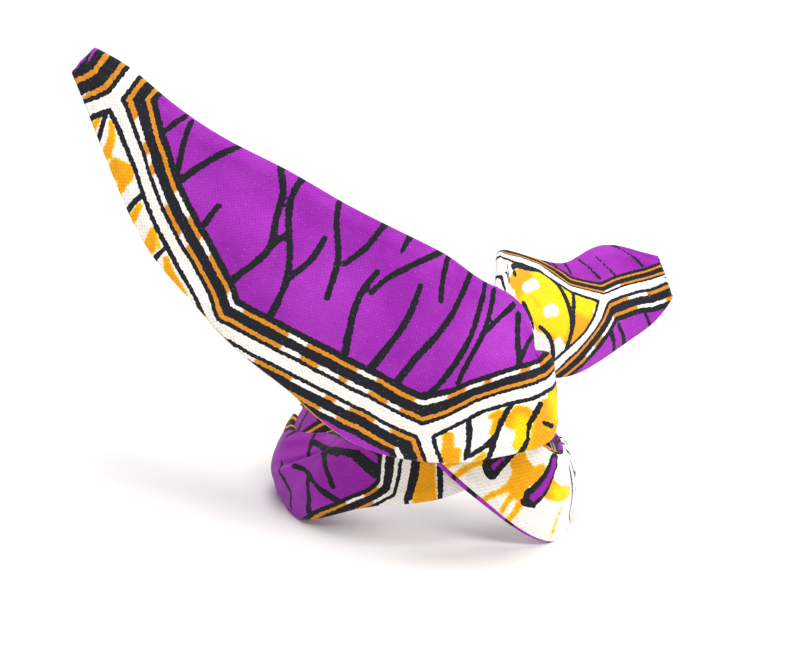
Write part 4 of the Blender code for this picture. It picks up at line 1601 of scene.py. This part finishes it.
@dataclass
class ClosingStitches:
    """Whip stitches of thread that close an end of the tube."""

    band: Band
    spacing: float = 1.7  # millimetres from stitch to stitch
    thread: float = 0.24
    reach: float = 0.78  # how far a stitch goes round the end of the tube
    inset: float = 0.55  # from the end of the tube to the middle of a stitch
    sweep: float = 250.0  # how much of a turn shows, in degrees
    slant: float = 14.0  # how far a stitch leans, in degrees
    margin: float = 1.0  # from a corner of the end to the first stitch
    line_points: int = 12

    def path(self, name: str, station: int) -> bpy.types.Object:
        """Lays a line of points across one end, each with the direction out of that end.

        Args:
            name: the piece's name.
            station: the band's first or last station.

        Returns:
            The line.
        """
        way = self.band.way[station] * (1 if station else -1)
        low, high = -self.band.lower[station] + self.margin, self.band.upper[station] - self.margin
        ends = np.linspace(low, high, self.line_points)
        row = np.array([station % self.band.stations])
        points = self.band.middle(row, ends[None])[0] - way * self.inset
        mesh = bpy.data.meshes.new(name)
        mesh.from_pydata((points * MM).tolist(), [(i, i + 1) for i in range(len(points) - 1)], [])
        outward = mesh.attributes.new("outward", "FLOAT_VECTOR", "POINT")
        outward.data.foreach_set("vector", np.tile(way, (len(points), 1)).astype(np.float32).reshape(-1))
        return put_in_scene(name, mesh)

    def tree(self, material: bpy.types.Material) -> bpy.types.NodeTree:
        """Builds the node tree that sews a line: a part ring of thread at even steps along it.

        Args:
            material: the thread's material.

        Returns:
            The tree.
        """
        made = bpy.data.node_groups.new("whip stitches", "GeometryNodeTree")
        face = made.interface
        face.new_socket("Geometry", in_out="INPUT", socket_type="NodeSocketGeometry")
        for name in ("Spacing", "Thread radius", "Reach", "Sweep"):
            face.new_socket(name, in_out="INPUT", socket_type="NodeSocketFloat")
        face.new_socket("Geometry", in_out="OUTPUT", socket_type="NodeSocketGeometry")
        given = add(made, "NodeGroupInput")
        line = add(made, "GeometryNodeMeshToCurve", {0: given.outputs["Geometry"]})
        line = add(made, "GeometryNodeResampleCurve", {"Curve": line, "Length": given.outputs["Spacing"]},
                   mode="LENGTH")
        tangent = add(made, "GeometryNodeInputTangent")
        outward = add(made, "GeometryNodeInputNamedAttribute", {"Name": "outward"}, data_type="FLOAT_VECTOR")
        turned = add(made, "FunctionNodeAlignRotationToVector", {"Vector": tangent}, axis="Z")
        turned = add(made, "FunctionNodeAlignRotationToVector", {"Rotation": turned, "Vector": outward},
                     axis="X", pivot_axis="Z")
        half = add(made, "ShaderNodeMath", {0: given.outputs["Sweep"], 1: -0.5}, operation="MULTIPLY")
        ring = add(
            made,
            "GeometryNodeCurveArc",
            {
                "Resolution": 12,
                "Radius": given.outputs["Reach"],
                "Start Angle": half,
                "Sweep Angle": given.outputs["Sweep"],
            },
        )
        section = add(made, "GeometryNodeCurvePrimitiveCircle",
                      {"Resolution": 8, "Radius": given.outputs["Thread radius"]})
        stitch = add(made, "GeometryNodeCurveToMesh",
                     {"Curve": ring, "Profile Curve": section.outputs["Curve"], "Fill Caps": True})
        tilt = add(made, "FunctionNodeRotateRotation", {0: turned, 1: (0.0, math.radians(self.slant), 0.0)},
                   rotation_space="LOCAL")
        sewn = add(made, "GeometryNodeInstanceOnPoints",
                   {"Points": line, "Instance": stitch, "Rotation": tilt})
        plain = add(made, "GeometryNodeRealizeInstances", {0: sewn})
        smooth = add(made, "GeometryNodeSetShadeSmooth", {0: plain})
        dressed = add(made, "GeometryNodeSetMaterial", {"Geometry": smooth, "Material": material})
        add(made, "NodeGroupOutput", {0: dressed})
        return made

    def build(self, material: bpy.types.Material) -> None:
        """Sews both ends.

        Args:
            material: the thread's material.
        """
        tree = self.tree(material)
        values = {
            "Spacing": self.spacing * MM,
            "Thread radius": 0.5 * self.thread * MM,
            "Reach": self.reach * MM,
            "Sweep": math.radians(self.sweep),
        }
        for name, station in (("tall_tip_stitches", 0), ("short_tip_stitches", -1)):
            piece = self.path(name, station)
            sewing = piece.modifiers.new("whip stitches", "NODES")
            sewing.node_group = tree
            for socket in tree.interface.items_tree:
                if socket.in_out == "INPUT" and socket.name in values:
                    sewing[socket.identifier] = values[socket.name]
            settle(piece)
            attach(piece, "root")
            LOG.info("%s: %d faces", name, len(piece.data.polygons))


@dataclass(frozen=True)
class Sun:
    """One far soft light: how it is turned and how wide it looks, in degrees, and its strength."""

    name: str
    elevation: float
    azimuth: float
    width: float
    strength: float


@dataclass
class Studio:
    """The floor, the lights and the camera."""

    floor_size: float = 6.0
    sky: float = 0.42
    suns: tuple[Sun, ...] = (
        Sun("key_light", 50, 44, 26, 1.75),
        Sun("top_light", 80, 160, 40, 1.6),
    )
    eye: tuple[float, float, float] = (0.00283, -0.39419, 0.15986)
    tilt: float = 74.0
    lens: float = 67.7
    nearest: float = 0.01  # what lies nearer to the camera isn't drawn, in metres

    def build(self, board: bpy.types.Material) -> None:
        """Builds the whole of it.

        Args:
            board: the floor's material.
        """
        half = self.floor_size / 2
        mesh = bpy.data.meshes.new("floor")
        corners = [(-half, -half, 0), (half, -half, 0), (half, half, 0), (-half, half, 0)]
        mesh.from_pydata(corners, [], [(0, 1, 2, 3)])
        mesh.materials.append(board)
        put_in_scene("floor", mesh)
        world = bpy.data.worlds.new("studio")
        world.use_nodes = True
        backdrop = world.node_tree.nodes["Background"]
        backdrop.inputs["Color"].default_value = linear("#FFFFFF")
        backdrop.inputs["Strength"].default_value = self.sky
        bpy.context.scene.world = world
        for sun in self.suns:
            light = bpy.data.lights.new(sun.name, "SUN")
            light.angle = math.radians(sun.width)
            light.energy = sun.strength
            made = put_in_scene(sun.name, light)
            made.rotation_euler = (math.radians(90 - sun.elevation), 0.0, math.radians(sun.azimuth))
        lens = bpy.data.cameras.new("camera")
        lens.lens = self.lens
        lens.clip_start = self.nearest
        camera = put_in_scene("camera", lens)
        camera.location = self.eye
        camera.rotation_euler = (math.radians(self.tilt), 0.0, 0.0)
        bpy.context.scene.camera = camera
        bpy.context.scene.view_settings.view_transform = "Standard"
        LOG.info("studio: %d lights", len(self.suns))


def dress_wire(material: bpy.types.Material) -> None:
    """Gives the wire that stays from the plain model its finish.

    Args:
        material: the finish.
    """
    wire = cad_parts["edge_wire"]
    wire.data.materials.clear()
    wire.data.materials.append(material)
    LOG.info("edge_wire: dressed")


def main() -> None:
    """Builds the wrap and its studio."""
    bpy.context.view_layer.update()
    Studio().build(PaintedBoard().make())
    band = Band()
    ClothTube(band, WaxPrint()).build(
        PrintedCotton("wax-printed cotton, front panel").make(),
        PrintedCotton("wax-printed cotton, back panel").make(),
    )
    ClosingStitches(band).build(SewingThread().make())
    dress_wire(AnnealedWire().make())


if __name__ == "__main__":
    main()
